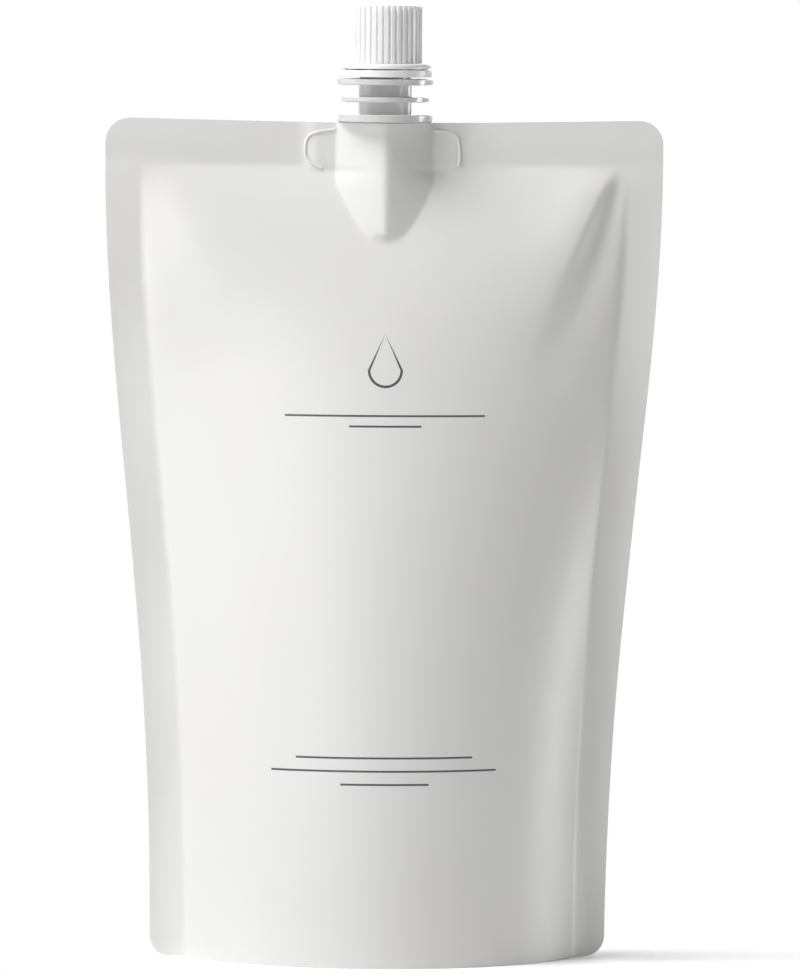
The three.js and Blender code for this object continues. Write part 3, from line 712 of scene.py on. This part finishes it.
    def corner(self, row):
        """How far the rounded corners draw the side in."""
        pouch, inset = self.pouch, 0
        for radius, distance in ((pouch.bottom_corner, row), (pouch.top_corner, pouch.height - row)):
            inside = np.clip(radius - distance, 0, radius)
            inset = inset + radius - np.sqrt(radius**2 - inside**2)
        return inset

    def sway(self, s, z):
        """How far the flat seals wave out of the seams' plane."""
        away = np.abs(s)
        beside = smoothstep(away, self.panel_half - self.seam_cover, self.panel_half + self.pouch.side_seal)
        over = smoothstep(z, self.seal_line, self.pouch.height)
        clear = smoothstep(away, *self.top_still)
        line = self.seal_line + np.interp(s, *self.press_line)
        pressed = np.exp(-(((z - line) / self.press_width) ** 2)) * clear
        side = self.side_sway * beside * waves(z, self.side_waves, np.sign(s)) * (1 - over)
        return side + self.top_sway * over * waves(s, self.top_waves) * clear + self.press_depth * pressed

    def relief(self, s, z):
        """The weld base's ribs under the film."""
        ribs = sum(np.exp(-(((z - height) / self.rib_half) ** 2)) for height in self.rib_heights)
        end = self.spout.canoe_half
        return self.rib_depth * ribs * (1 - smoothstep(np.abs(s), end - self.rib_fade, end))

    def points(self, across, flap, row, face):
        """Points of a face, from places across the panel, distances past its seam and heights."""
        side = np.sign(across)
        wide = flap * (1 - self.corner(row) / self.pouch.side_seal)
        over = np.clip((row - self.seal_line) / self.pouch.top_seal, 0, 1)
        edge = self.top_edge(across + side * wide)
        z = np.where(over > 0, lerp(self.seal_line, edge, over), row)
        x, _ = self.arc(across, z)
        at_base = np.where(across < 0, self.pouch.left_lean, self.pouch.right_lean)
        lean = at_base * (1 - np.clip(z / self.seal_line, 0, 1))
        depth = self.depth(across, z, face) + self.relief(across, z)
        out = 1 - (1 - wide / self.pouch.side_seal) ** self.flap_power
        y = self.pouch.side_seal * np.sin(lean) * out + face * depth + self.sway(across + side * wide, z)
        return np.stack([x + side * wide * np.cos(lean), y, z], -1)


def spaced(*stops):
    """Values from stop to stop, where each stop after the first is a value and the step that leads to it."""
    values = [stops[0]]
    for end, step in stops[1:]:
        count = max(1, round((end - values[-1]) / step))
        values.extend(np.linspace(values[-1], end, count + 1)[1:])
    return np.array(values)


def rounded_rows(radius, steps):
    """Distances from a corner's end that follow a quarter of a circle in even turns."""
    return [radius * (1 - math.cos(math.pi / 2 * i / steps)) for i in range(steps + 1)]


def grid_faces(first, rows, columns, closed):
    """Faces of a grid whose points are numbered row by row from first, open or closed to a ring."""
    return [
        (start + j, start + (j + 1) % columns, start + columns + (j + 1) % columns, start + columns + j)
        for start in range(first, first + (rows - 1) * columns, columns)
        for j in range(columns if closed else columns - 1)
    ]


def film_mesh(film):
    """The pouch as one closed skin: two panels, their seals, the pocket round the spout and the gusset.

    Its columns and rows lie closer where the film turns more: at the spout, the seams and the top seal.
    """
    pouch = film.pouch
    half = spaced(
        0,
        (mm(13), mm(0.45)),
        (mm(19), mm(0.75)),
        (film.panel_half - mm(16), mm(1.5)),
        (film.panel_half, mm(0.75)),
    )
    flaps = spaced(0, (pouch.side_seal, mm(1.0)))[1:]
    right = [(s, 0) for s in half] + [(film.panel_half, flap) for flap in flaps]
    columns = np.array([(-s, flap) for s, flap in right[:0:-1]] + right)
    low = rounded_rows(pouch.bottom_corner, 6)
    top = [pouch.height - distance for distance in rounded_rows(pouch.top_corner, 9)[::-1]]
    body = spaced(pouch.bottom_corner, (mm(120), mm(2.2)), (mm(176), mm(1.5)), (film.seal_line, mm(0.6)))
    seal = spaced(film.seal_line, (top[0], mm(0.6)))
    rows = np.array([*low[:-1], *body[:-1], *seal[:-1], *top])
    across, row = np.meshgrid(columns[:, 0], rows)
    flap, _ = np.meshgrid(columns[:, 1], rows)
    front, back = (film.points(across, flap, row, face) for face in (FRONT, BACK))
    ring = np.concatenate([front, back[:, ::-1]], 1)
    skirt = skirt_end(film, columns, front[0], back[0])
    pocket = pocket_end(film, columns, front[-1], back[-1])
    points, faces = [], []
    for grid, closed in ((ring, True), (skirt, False), (pocket, False)):
        faces += grid_faces(sum(map(len, points)), *grid.shape[:2], closed)
        points.append(grid.reshape(-1, 3))
    return np.concatenate(points), faces


def closing_grid(front, back, walls, hollow, across_steps):
    """Points that close an end of the skin, from its front edge down one wall, across and up the other."""
    front_wall, back_wall = walls
    share = np.linspace(0, 1, across_steps + 1)[1:-1, None, None]
    bridge = lerp(front_wall[-1], back_wall[-1], share)
    path = np.concatenate([front_wall, bridge, back_wall[::-1]])
    side = np.where(np.arange(len(path))[:, None, None] < len(path) / 2, front, back)
    path = np.where(hollow[None, :, None], path, side)
    return np.concatenate([front[None], path, back[None]])


def skirt_end(film, columns, front, back):
    """The underside: a flat foot, and at both ends the gusset's arch inside the skirt."""
    arch_power, least_hollow, wall_steps, across_steps = 1.6, mm(0.2), 10, 18
    across, flap = columns[:, 0], columns[:, 1]
    foot, skirt = film.pouch.foot, film.pouch.skirt
    edge, _ = film.arc(film.panel_half, 0)
    x, depth = film.arc(across, np.zeros(len(across)))
    arch = film.pouch.gusset * np.clip((np.abs(x) - foot) / (edge - foot), 0, 1) ** arch_power
    z = arch * np.linspace(0, 1, wall_steps + 1)[:, None]
    x, depth_up = film.arc(np.broadcast_to(across, z.shape), z)
    inside = np.maximum(depth_up - skirt, 0)
    walls = [np.stack([x * (1 - skirt / edge), face * inside, z], -1) for face in (FRONT, BACK)]
    hollow = (flap == 0) & (depth > skirt + least_hollow)
    return closing_grid(front, back, walls, hollow, across_steps)


def pocket_end(film, columns, front, back):
    """The top edge, open over the spout's weld base down to the seal line."""
    floor, wall_steps, across_steps = film.seal_line + mm(0.05), 6, 6
    across, flap = columns[:, 0], columns[:, 1]
    z = lerp(film.top_edge(across), floor, np.linspace(0, 1, wall_steps + 1)[:, None])
    across = np.broadcast_to(across, z.shape)
    x, _ = film.arc(across, z)
    walls = []
    for face in (FRONT, BACK):
        inside = film.depth(across, np.full(z.shape, film.seal_line), face) - film.pouch.film
        walls.append(np.stack([x, face * inside, z], -1))
    hollow = (flap == 0) & (np.abs(across[0]) < film.pocket_edge)
    return closing_grid(front, back, walls, hollow, across_steps)


class REFILL_OT_pouch(bpy.types.Operator):
    """Builds the pouch of pearl film with its seals, its corner folds and the gusset that it stands on"""

    bl_idname = "refill.pouch"
    bl_label = "Film pouch"

    # How far inside the seals the mottle of the sealed film begins, and how quickly it is full
    side_lead, top_lead, gain = mm(0.5), mm(1), 8

    def execute(self, context):
        film = Film()
        points, faces = film_mesh(film)
        x, z = np.abs(points[:, 0]), points[:, 2]
        seam, _ = film.arc(film.panel_half, z)
        side = smoothstep(x, seam - self.side_lead, film.pouch.width / 2)
        top = smoothstep(z, film.seal_line - self.top_lead, film.seal_line)
        sealed = np.maximum(np.clip(side * self.gain, 0, 1), top)
        mesh = solid("pouch_film", points, faces, {"sealed": sealed})
        finish_piece("pouch_film", mesh, pearl_film(), "pack", ["pouch"], math.radians(50))
        return {"FINISHED"}


class REFILL_OT_weld_outline(bpy.types.Operator):
    """Lays the raised outline that the welding jaw leaves in the film on both sides of the spout"""

    bl_idname = "refill.weld_outline"
    bl_label = "Weld outline"

    # Corners of the outlines in millimetres: distances from the middle, then heights
    corners = {
        "left": (
            (12.4, 16.4, 18.6, 19.7, 20.0, 19.8, 18.4, 15.8),
            (208.9, 208.3, 207.5, 206.0, 203.6, 201.4, 199.8, 198.4),
        ),
        "right": (
            (12.4, 15.4, 17.4, 18.4, 18.8, 18.9, 18.6),
            (208.9, 208.6, 208.0, 206.7, 204.0, 200.8, 199.2),
        ),
    }
    radius, step = mm(0.4), mm(0.4)

    def execute(self, context):
        film = Film()
        tree = bead_tree()
        material = bpy.data.materials["Pearl laminated film"]
        for face, view in ((FRONT, "front"), (BACK, "back")):
            for side, name in ((-1, "left"), (1, "right")):
                across, z = (mm(np.array(values)) for values in self.corners[name])
                places = film.points(side * across, np.zeros(len(across)), z, face)
                edges = [(i, i + 1) for i in range(len(places) - 1)]
                sizes = {"radius": self.radius, "step": self.step}
                mesh = grown("bead", tree, places, edges, material=material, **sizes)
                finish_piece(f"weld_outline_{view}_{name}", mesh, material, "pack")
        return {"FINISHED"}


# The spout, the band and the cap

# How far joined solids reach into each other, along and across the spout, and how far a drill goes past them
JOIN_ALONG, JOIN_ACROSS, DRILL_PAST = mm(0.5), mm(0.4), mm(1)
THREAD_INTO_WALL = mm(0.3)
THREAD_RUN_OUT = 0.12
BORE_CORNERS = 96


class Levels:
    """Heights up the spout and the closure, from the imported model's boxes and the sizes."""

    def __init__(self):
        spout, closure = settings().spout, settings().closure
        self.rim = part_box("spout")[1].z
        self.cap_low, self.cap_high = (corner.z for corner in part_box("cap"))
        self.band_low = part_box("tamper_band")[0].z
        self.collar_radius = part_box("cap")[1].y
        self.bore = spout.round_neck + closure.thread_depth + closure.crest_gap
        self.cap_radius = self.bore + closure.wall + closure.rib_depth
        self.lower = settings().pouch.height - settings().pouch.top_dip + spout.clearance
        self.middle = self.lower + spout.lower_thickness + spout.lower_gap
        self.upper = self.middle + spout.middle_thickness + spout.upper_gap
        self.round = self.upper + spout.upper_thickness
        self.thread = self.round + spout.thread_lift


class REFILL_OT_spout(bpy.types.Operator):
    """Builds the spout with its weld base, its square neck, its three flanges and its threaded neck"""

    bl_idname = "refill.spout"
    bl_label = "Spout"

    # The flanges' chamfer, the height of each slope of the bead, and the roundings of the neck's rim
    chamfer, bead_slope, rim_rounding, bore_rounding = mm(0.2), mm(0.4), mm(0.4), mm(0.3)
    thread_turns, thread_steps = 2.25, 220

    def execute(self, context):
        sizes, level = settings().spout, Levels()
        material = natural_polyethylene()
        base = level.lower - sizes.base_height
        neck, bore = sizes.round_neck, sizes.bore
        core = sizes.neck_width / 2 - JOIN_ACROSS
        profile = [(bore, base), (core, base)]
        for low, flange, thickness in (
            (level.lower, sizes.lower_flange, sizes.lower_thickness),
            (level.middle, sizes.middle_flange, sizes.middle_thickness),
            (level.upper, sizes.upper_flange, sizes.upper_thickness),
        ):
            high = low + thickness
            profile += [(core, low), *rim(flange, low, high, self.chamfer), (core, high)]
        bead, slope = level.round + sizes.bead_lift, self.bead_slope
        over_rim, in_bore = self.rim_rounding, self.bore_rounding
        profile += [
            (neck, level.round),
            (neck, bead - slope),
            (neck + sizes.bead, bead),
            (neck + sizes.bead, bead + slope),
            (neck, bead + 2 * slope),
            *arc(over_rim, neck - over_rim, level.rim - over_rim, 0, 90),
            *arc(in_bore, bore + in_bore, level.rim - in_bore, 90, 180),
            (bore, base),
        ]
        thread = screw_thread(
            "neck_thread",
            -1,
            material,
            steps=self.thread_steps,
            turns=self.thread_turns,
            start_turn=0.0,
            start_height=level.thread,
            root_radius=neck,
        )
        parts = [turned("spout_round", profile, material), square_neck(sizes, level)]
        mesh = merged("spout_moulding", [*parts, weld_base(sizes, level, base), thread])
        finish_piece("spout_moulding", mesh, material, "pack", ["spout"])
        return {"FINISHED"}


def screw_thread(name, direction, material, **values):
    """A thread that stands out of a neck, where direction is -1, or out of a bore, where it is 1."""
    closure = settings().closure
    root, crest = closure.thread_root / 2, closure.thread_crest / 2
    into, out = direction * THREAD_INTO_WALL, -direction * closure.thread_depth
    corners = [(into, -root), (0, -root), (out, -crest), (out, crest), (0, root), (into, root), (into, -root)]
    section = [(depth, 0, height) for depth, height in corners]
    fixed = {"pitch": closure.pitch, "run_out": THREAD_RUN_OUT, "material": material}
    return grown(name, thread_tree(), section, **fixed, **values)


def prism(name, outline, low, high):
    """A closed prism on an outline of x and y corners."""
    count = len(outline)
    points = [(x, y, z) for z in (low, high) for x, y in outline]
    sides = [(i, (i + 1) % count, count + (i + 1) % count, count + i) for i in range(count)]
    return solid(name, points, [*sides, tuple(range(count))[::-1], tuple(range(count, 2 * count))])


def bored(mesh, radius, low, high):
    """The mesh with a round hole through it."""
    turns = np.linspace(0, math.tau, BORE_CORNERS, endpoint=False)
    circle = [(radius * math.cos(turn), radius * math.sin(turn)) for turn in turns]
    return merged("bored", [mesh, prism("bore", circle, low - DRILL_PAST, high + DRILL_PAST)], "DIFFERENCE")


def square_neck(sizes, level):
    straight, corner_steps = sizes.neck_width / 2 - sizes.neck_corner, 5
    outline = []
    for x, y, start in ((1, 1, 0), (-1, 1, 90), (-1, -1, 180), (1, -1, 270)):
        outline += arc(sizes.neck_corner, x * straight, y * straight, start, start + 90, corner_steps)
    low, high = level.lower + JOIN_ALONG, level.upper + JOIN_ALONG
    return bored(prism("neck", outline, low, high), sizes.bore + JOIN_ACROSS, low, high)


def weld_base(sizes, level, base):
    """The canoe that the film is welded to, with a fin at each end."""
    fin, fin_drop = Film.fin_half, mm(0.6)
    # Shares of the canoe's half length and half depth, from its middle outwards
    shares = [(0, 1), (0.14, 6.4 / 7), (0.34, 0.74), (0.62, 0.42)]
    half = [(along * sizes.canoe_half, out * sizes.canoe_ridge) for along, out in shares]
    half.append((sizes.canoe_half, fin))
    right = [(x, -y) for x, y in half] + half[::-1]
    left = [(-x, y) for x, y in half[1:]] + [(-x, -y) for x, y in half[:0:-1]]
    high, end = level.lower + JOIN_ALONG, sizes.canoe_half + sizes.fin
    canoe = prism("canoe", right + left, base, high)
    corners = [(-end, -fin), (end, -fin), (end, fin), (-end, fin)]
    fins = prism("fins", corners, base, level.lower - fin_drop)
    return bored(merged("weld_base", [canoe, fins]), sizes.bore + JOIN_ACROSS, base, high)


class REFILL_OT_tamper_band(bpy.types.Operator):
    """Builds the tamper band with the stubs of its parted bridges"""

    bl_idname = "refill.tamper_band"
    bl_label = "Tamper band"

    height, chamfer = mm(1.75), mm(0.15)
    # The lip's gap from the neck, the ring's from the bead, and the lip's heights at the neck and at the ring
    lip_gap, bead_gap, lip_low, lip_high = mm(0.5), mm(0.3), mm(0.28), mm(0.55)
    # How far a stub reaches into the ring, sideways and down, and the share of its width at its outer end
    stub_depth, stub_root, stub_narrowing = mm(1.2), mm(0.2), 0.8

    def execute(self, context):
        sizes, closure, level = settings().spout, settings().closure, Levels()
        material = white_polypropylene()
        low, top = level.band_low, level.band_low + self.height
        lip, over_bead = sizes.round_neck + self.lip_gap, sizes.round_neck + sizes.bead + self.bead_gap
        profile = [
            (lip, low),
            *rim(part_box("tamper_band")[1].x, low, top, self.chamfer),
            (over_bead, top),
            (over_bead, low + self.lip_high),
            (lip, low + self.lip_low),
            (lip, low),
        ]
        ring = turned("band", profile, material)
        outer, half = level.collar_radius, closure.bridge_width / 2
        inner, narrow = outer - self.stub_depth, self.stub_narrowing * half
        outline = [(inner, -half), (outer, -narrow), (outer, narrow), (inner, half)]
        stub = [(x, y, z) for z in (top - self.stub_root, top + closure.bridge_height) for x, y in outline]
        faces = [(3, 2, 1, 0), (4, 5, 6, 7), (0, 1, 5, 4), (1, 2, 6, 5), (2, 3, 7, 6), (3, 0, 4, 7)]
        copies = {"copies": closure.bridges, "phase": 0.5}
        stubs = grown("stubs", ring_tree(), stub, faces=faces, material=material, **copies)
        mesh = merged("tamper_band_ring", [ring, stubs])
        finish_piece("tamper_band_ring", mesh, material, "pack", ["tamper_band"])
        return {"FINISHED"}


class REFILL_OT_cap(bpy.types.Operator):
    """Builds the ribbed screw cap with its collar and its inner thread"""

    bl_idname = "refill.cap"
    bl_label = "Screw cap"

    # The chamfers of the bore at its top and mouth, and of the collar's foot
    ceiling_edge, mouth_edge, collar_edge = mm(0.3), mm(0.2), mm(0.15)
    # How far over the collar the ribs begin, how far their rows keep from their ends, and the rows' distance
    grip_lift, grip_inset, grip_step, segments_per_rib = mm(0.06), mm(0.2), mm(2.5), 12
    thread_lift, thread_turns, thread_steps = mm(2.1), 2.1, 200
    flat_top = mm(6)

    def execute(self, context):
        closure, level = settings().closure, Levels()
        material = bpy.data.materials["White polypropylene"]
        low, high = level.cap_low, level.cap_high
        bore, collar, foot = level.bore, level.collar_radius, low + closure.collar
        radius, ceiling = level.cap_radius, high - closure.top_wall
        top_edge, foot_edge = closure.top_rounding, closure.collar_rounding
        grip = spaced(foot + self.grip_lift, (high - top_edge - self.grip_inset, self.grip_step))
        profile = [
            (0, ceiling),
            (bore - self.ceiling_edge, ceiling),
            (bore, ceiling - self.ceiling_edge),
            (bore, low + self.mouth_edge),
            (bore + self.mouth_edge, low),
            (collar - self.collar_edge, low),
            (collar, low + self.collar_edge),
            *arc(foot_edge, collar - foot_edge, foot - foot_edge, 0, 90),
            (radius - closure.rib_depth - self.grip_inset, foot),
            *[(radius, z) for z in grip],
            *arc(top_edge, radius - top_edge, high - top_edge, 0, 90, 8),
            (self.flat_top, high),
            (0, high),
        ]
        shell = turned(
            "cap_shell",
            profile,
            material,
            segments=closure.rib_count * self.segments_per_rib,
            ribs=closure.rib_count,
            rib_radius=radius,
            rib_depth=closure.rib_depth,
            rib_crest=closure.rib_crest,
            rib_groove=closure.rib_groove,
            grip_foot=foot + self.grip_lift / 2,
        )
        start = low + self.thread_lift
        drop = (closure.thread_root + closure.thread_crest) / 2 + closure.flank_gap
        thread = screw_thread(
            "cap_thread",
            1,
            material,
            steps=self.thread_steps,
            turns=self.thread_turns,
            start_turn=(start + drop - level.thread) / closure.pitch,
            start_height=start,
            root_radius=bore,
        )
        mesh = merged("screw_cap", [shell, thread])
        finish_piece("screw_cap", mesh, material, "cap", ["cap"])
        return {"FINISHED"}


class REFILL_OT_cap_liner(bpy.types.Operator):
    """Gives the sealing disc inside the cap its foam finish"""

    bl_idname = "refill.cap_liner"
    bl_label = "Cap liner"

    def execute(self, context):
        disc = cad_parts["cap_liner"]
        disc.data.materials.clear()
        disc.data.materials.append(liner_foam())
        return {"FINISHED"}


# The stage


def seen_white(add, plain, white):
    """The white shader to the camera, in gloss and in clear parts, and the plain one to all other light."""
    path = add("ShaderNodeLightPath", result=None)
    seen = add("MAXIMUM", path["Is Camera Ray"], path["Is Glossy Ray"])
    seen = add("MAXIMUM", seen, path["Is Transmission Ray"])
    return add("ShaderNodeMixShader", seen, plain, white)


def facing(place, target):
    """The turn of a lamp or a camera that looks from one place at another."""
    return (Vector(target) - Vector(place)).to_track_quat("-Z", "Y")


class REFILL_OT_stage(bpy.types.Operator):
    """Sets up the white floor and background, the soft studio lamps and the camera"""

    bl_idname = "refill.stage"
    bl_label = "Stage"

    # Each lamp's name, place, width, height and power in watts
    lamps = [
        ("key_softbox", (-1.0, -0.6, 1.7), 1.0, 1.0, 37),
        ("left_softbox", (-1.7, -0.7, 0.5), 1.0, 1.2, 3.2),
        ("front_softbox", (-0.9, -1.6, 0.5), 1.0, 1.2, 5),
        ("right_rim", (1.72, 0.3, 0.12), 0.5, 0.3, 7),
        ("back_softbox", (0.5, 1.9, 1.0), 1.2, 1.2, 16),
    ]
    lit = (0, 0, 0.12)
    # How strong the world is as a light and as it is seen
    ambient, background = 0.01, 1.0
    # Half the floor's side, its gap under the pack, and how much brighter the camera sees it
    floor_half, floor_gap, floor_gain = 3, mm(0.05), 1.2
    # Where the floor keeps the shadow: an ellipsoid's middle and reach, and where in it the floor turns white
    shadow_middle = (mm(38), mm(-24), 0)
    shadow_reach = (mm(135), mm(46), mm(50))
    shadow_fade = 0.5
    # The camera: its target, its distance and height, its turns, and the height that it sees at the target
    aim = (mm(4.47), 0, mm(118.45))
    distance, height = 2.61, 0.27
    azimuth, roll = math.radians(-2.2), math.radians(0.43)
    seen_height = 0.2448

    def execute(self, context):
        scene = context.scene
        scene.view_settings.view_transform = "Standard"
        self.add_floor()
        self.add_light(scene)
        self.add_camera(scene)
        return {"FINISHED"}

    def add_floor(self):
        """A matt floor that keeps the shadow round the pack and turns into the white background."""
        material, add, place = new_material("Matt white floor")
        tint = drifting(add, place, mm(60), linear(0xF6F6F6), linear(0xF2F2F2))
        camera = add("ShaderNodeLightPath", result="Is Camera Ray")
        inputs = {"Factor": camera, MIX_FIRST: tint, MIX_SECOND: (*[self.floor_gain] * 3, 1)}
        near = add("ShaderNodeBsdfDiffuse", add(MIX, inputs, result=MIX_RESULT, data_type="RGBA"))
        plain = add("ShaderNodeBsdfDiffuse", linear(0xF4F4F4))
        white = add("ShaderNodeEmission", (1, 1, 1, 1), self.background)
        away = add("ShaderNodeVectorMath", place, self.shadow_middle, operation="SUBTRACT")
        away = add("ShaderNodeVectorMath", away, self.shadow_reach, operation="DIVIDE")
        away = add("ShaderNodeVectorMath", away, result="Value", operation="LENGTH")
        far = add(MAP_RANGE, {"Value": away, "From Min": self.shadow_fade, "From Max": 1.0})
        shown = add("ShaderNodeMixShader", far, near, seen_white(add, plain, white))
        add("ShaderNodeOutputMaterial", shown, result=None)
        half = self.floor_half
        corners = [(x * half, y * half, -self.floor_gap) for x, y in ((-1, -1), (1, -1), (1, 1), (-1, 1))]
        mesh = bpy.data.meshes.new("floor")
        mesh.from_pydata(corners, [], [(0, 1, 2, 3)])
        mesh.materials.append(material)
        link("floor", mesh)

    def add_light(self, scene):
        for name, place, width, height, power in self.lamps:
            light = bpy.data.lights.new(name, "AREA")
            light.shape = "RECTANGLE"
            light.size, light.size_y = width, height
            light.energy = power
            lamp = link(name, light)
            lamp.location = place
            lamp.rotation_euler = facing(place, self.lit).to_euler()
        scene.world = bpy.data.worlds.new("Studio")
        add = emptied(scene.world)
        plain = add("ShaderNodeBackground", (1, 1, 1, 1), self.ambient)
        white = add("ShaderNodeBackground", (1, 1, 1, 1), self.background)
        add("ShaderNodeOutputWorld", seen_white(add, plain, white), result=None)

    def add_camera(self, scene):
        camera = bpy.data.cameras.new("camera")
        target = Vector(self.aim)
        across, back = self.distance * math.sin(self.azimuth), self.distance * math.cos(self.azimuth)
        place = Vector((target.x + across, -back, self.height))
        camera.lens = camera.sensor_width * (target - place).length / self.seen_height
        scene.camera = link("camera", camera)
        turn = facing(place, target).to_matrix().to_4x4()
        scene.camera.matrix_world = Matrix.Translation(place) @ turn @ Matrix.Rotation(self.roll, 4, "Z")


OPERATORS = [
    REFILL_OT_pouch,
    REFILL_OT_weld_outline,
    REFILL_OT_spout,
    REFILL_OT_tamper_band,
    REFILL_OT_cap,
    REFILL_OT_cap_liner,
    REFILL_OT_stage,
]


class RefillPack(bpy.types.PropertyGroup):
    """All sizes and colours of the refill pack"""

    pouch: PointerProperty(type=PouchSizes, name="Pouch", description="Sizes of the film pouch")
    spout: PointerProperty(type=SpoutSizes, name="Spout", description="Sizes of the spout")
    closure: PointerProperty(type=ClosureSizes, name="Closure", description="Sizes of the cap and the band")
    finishes: PointerProperty(type=Finishes, name="Finishes", description="Colours of the pack")


class REFILL_PT_panel(bpy.types.Panel):
    """Lists the pack's pieces, sizes and colours"""

    bl_idname = "REFILL_PT_panel"
    bl_label = "Refill Pack"
    bl_space_type = "VIEW_3D"
    bl_region_type = "UI"
    bl_category = "Refill Pack"

    def draw(self, context):
        for operator in OPERATORS:
            self.layout.operator(operator.bl_idname)
        for name, group in GROUPS.items():
            box = self.layout.box()
            box.label(text=name.title())
            for key in group.__annotations__:
                box.prop(getattr(context.scene.refill_pack, name), key)


CLASSES = [*GROUPS.values(), RefillPack, *OPERATORS, REFILL_PT_panel]


def register():
    for made in CLASSES:
        bpy.utils.register_class(made)
    bpy.types.Scene.refill_pack = PointerProperty(type=RefillPack)


def unregister():
    del bpy.types.Scene.refill_pack
    for made in reversed(CLASSES):
        bpy.utils.unregister_class(made)


def main():
    register()
    for operator in OPERATORS:
        group, name = operator.bl_idname.split(".")
        getattr(getattr(bpy.ops, group), name)()


if __name__ == "__main__":
    main()
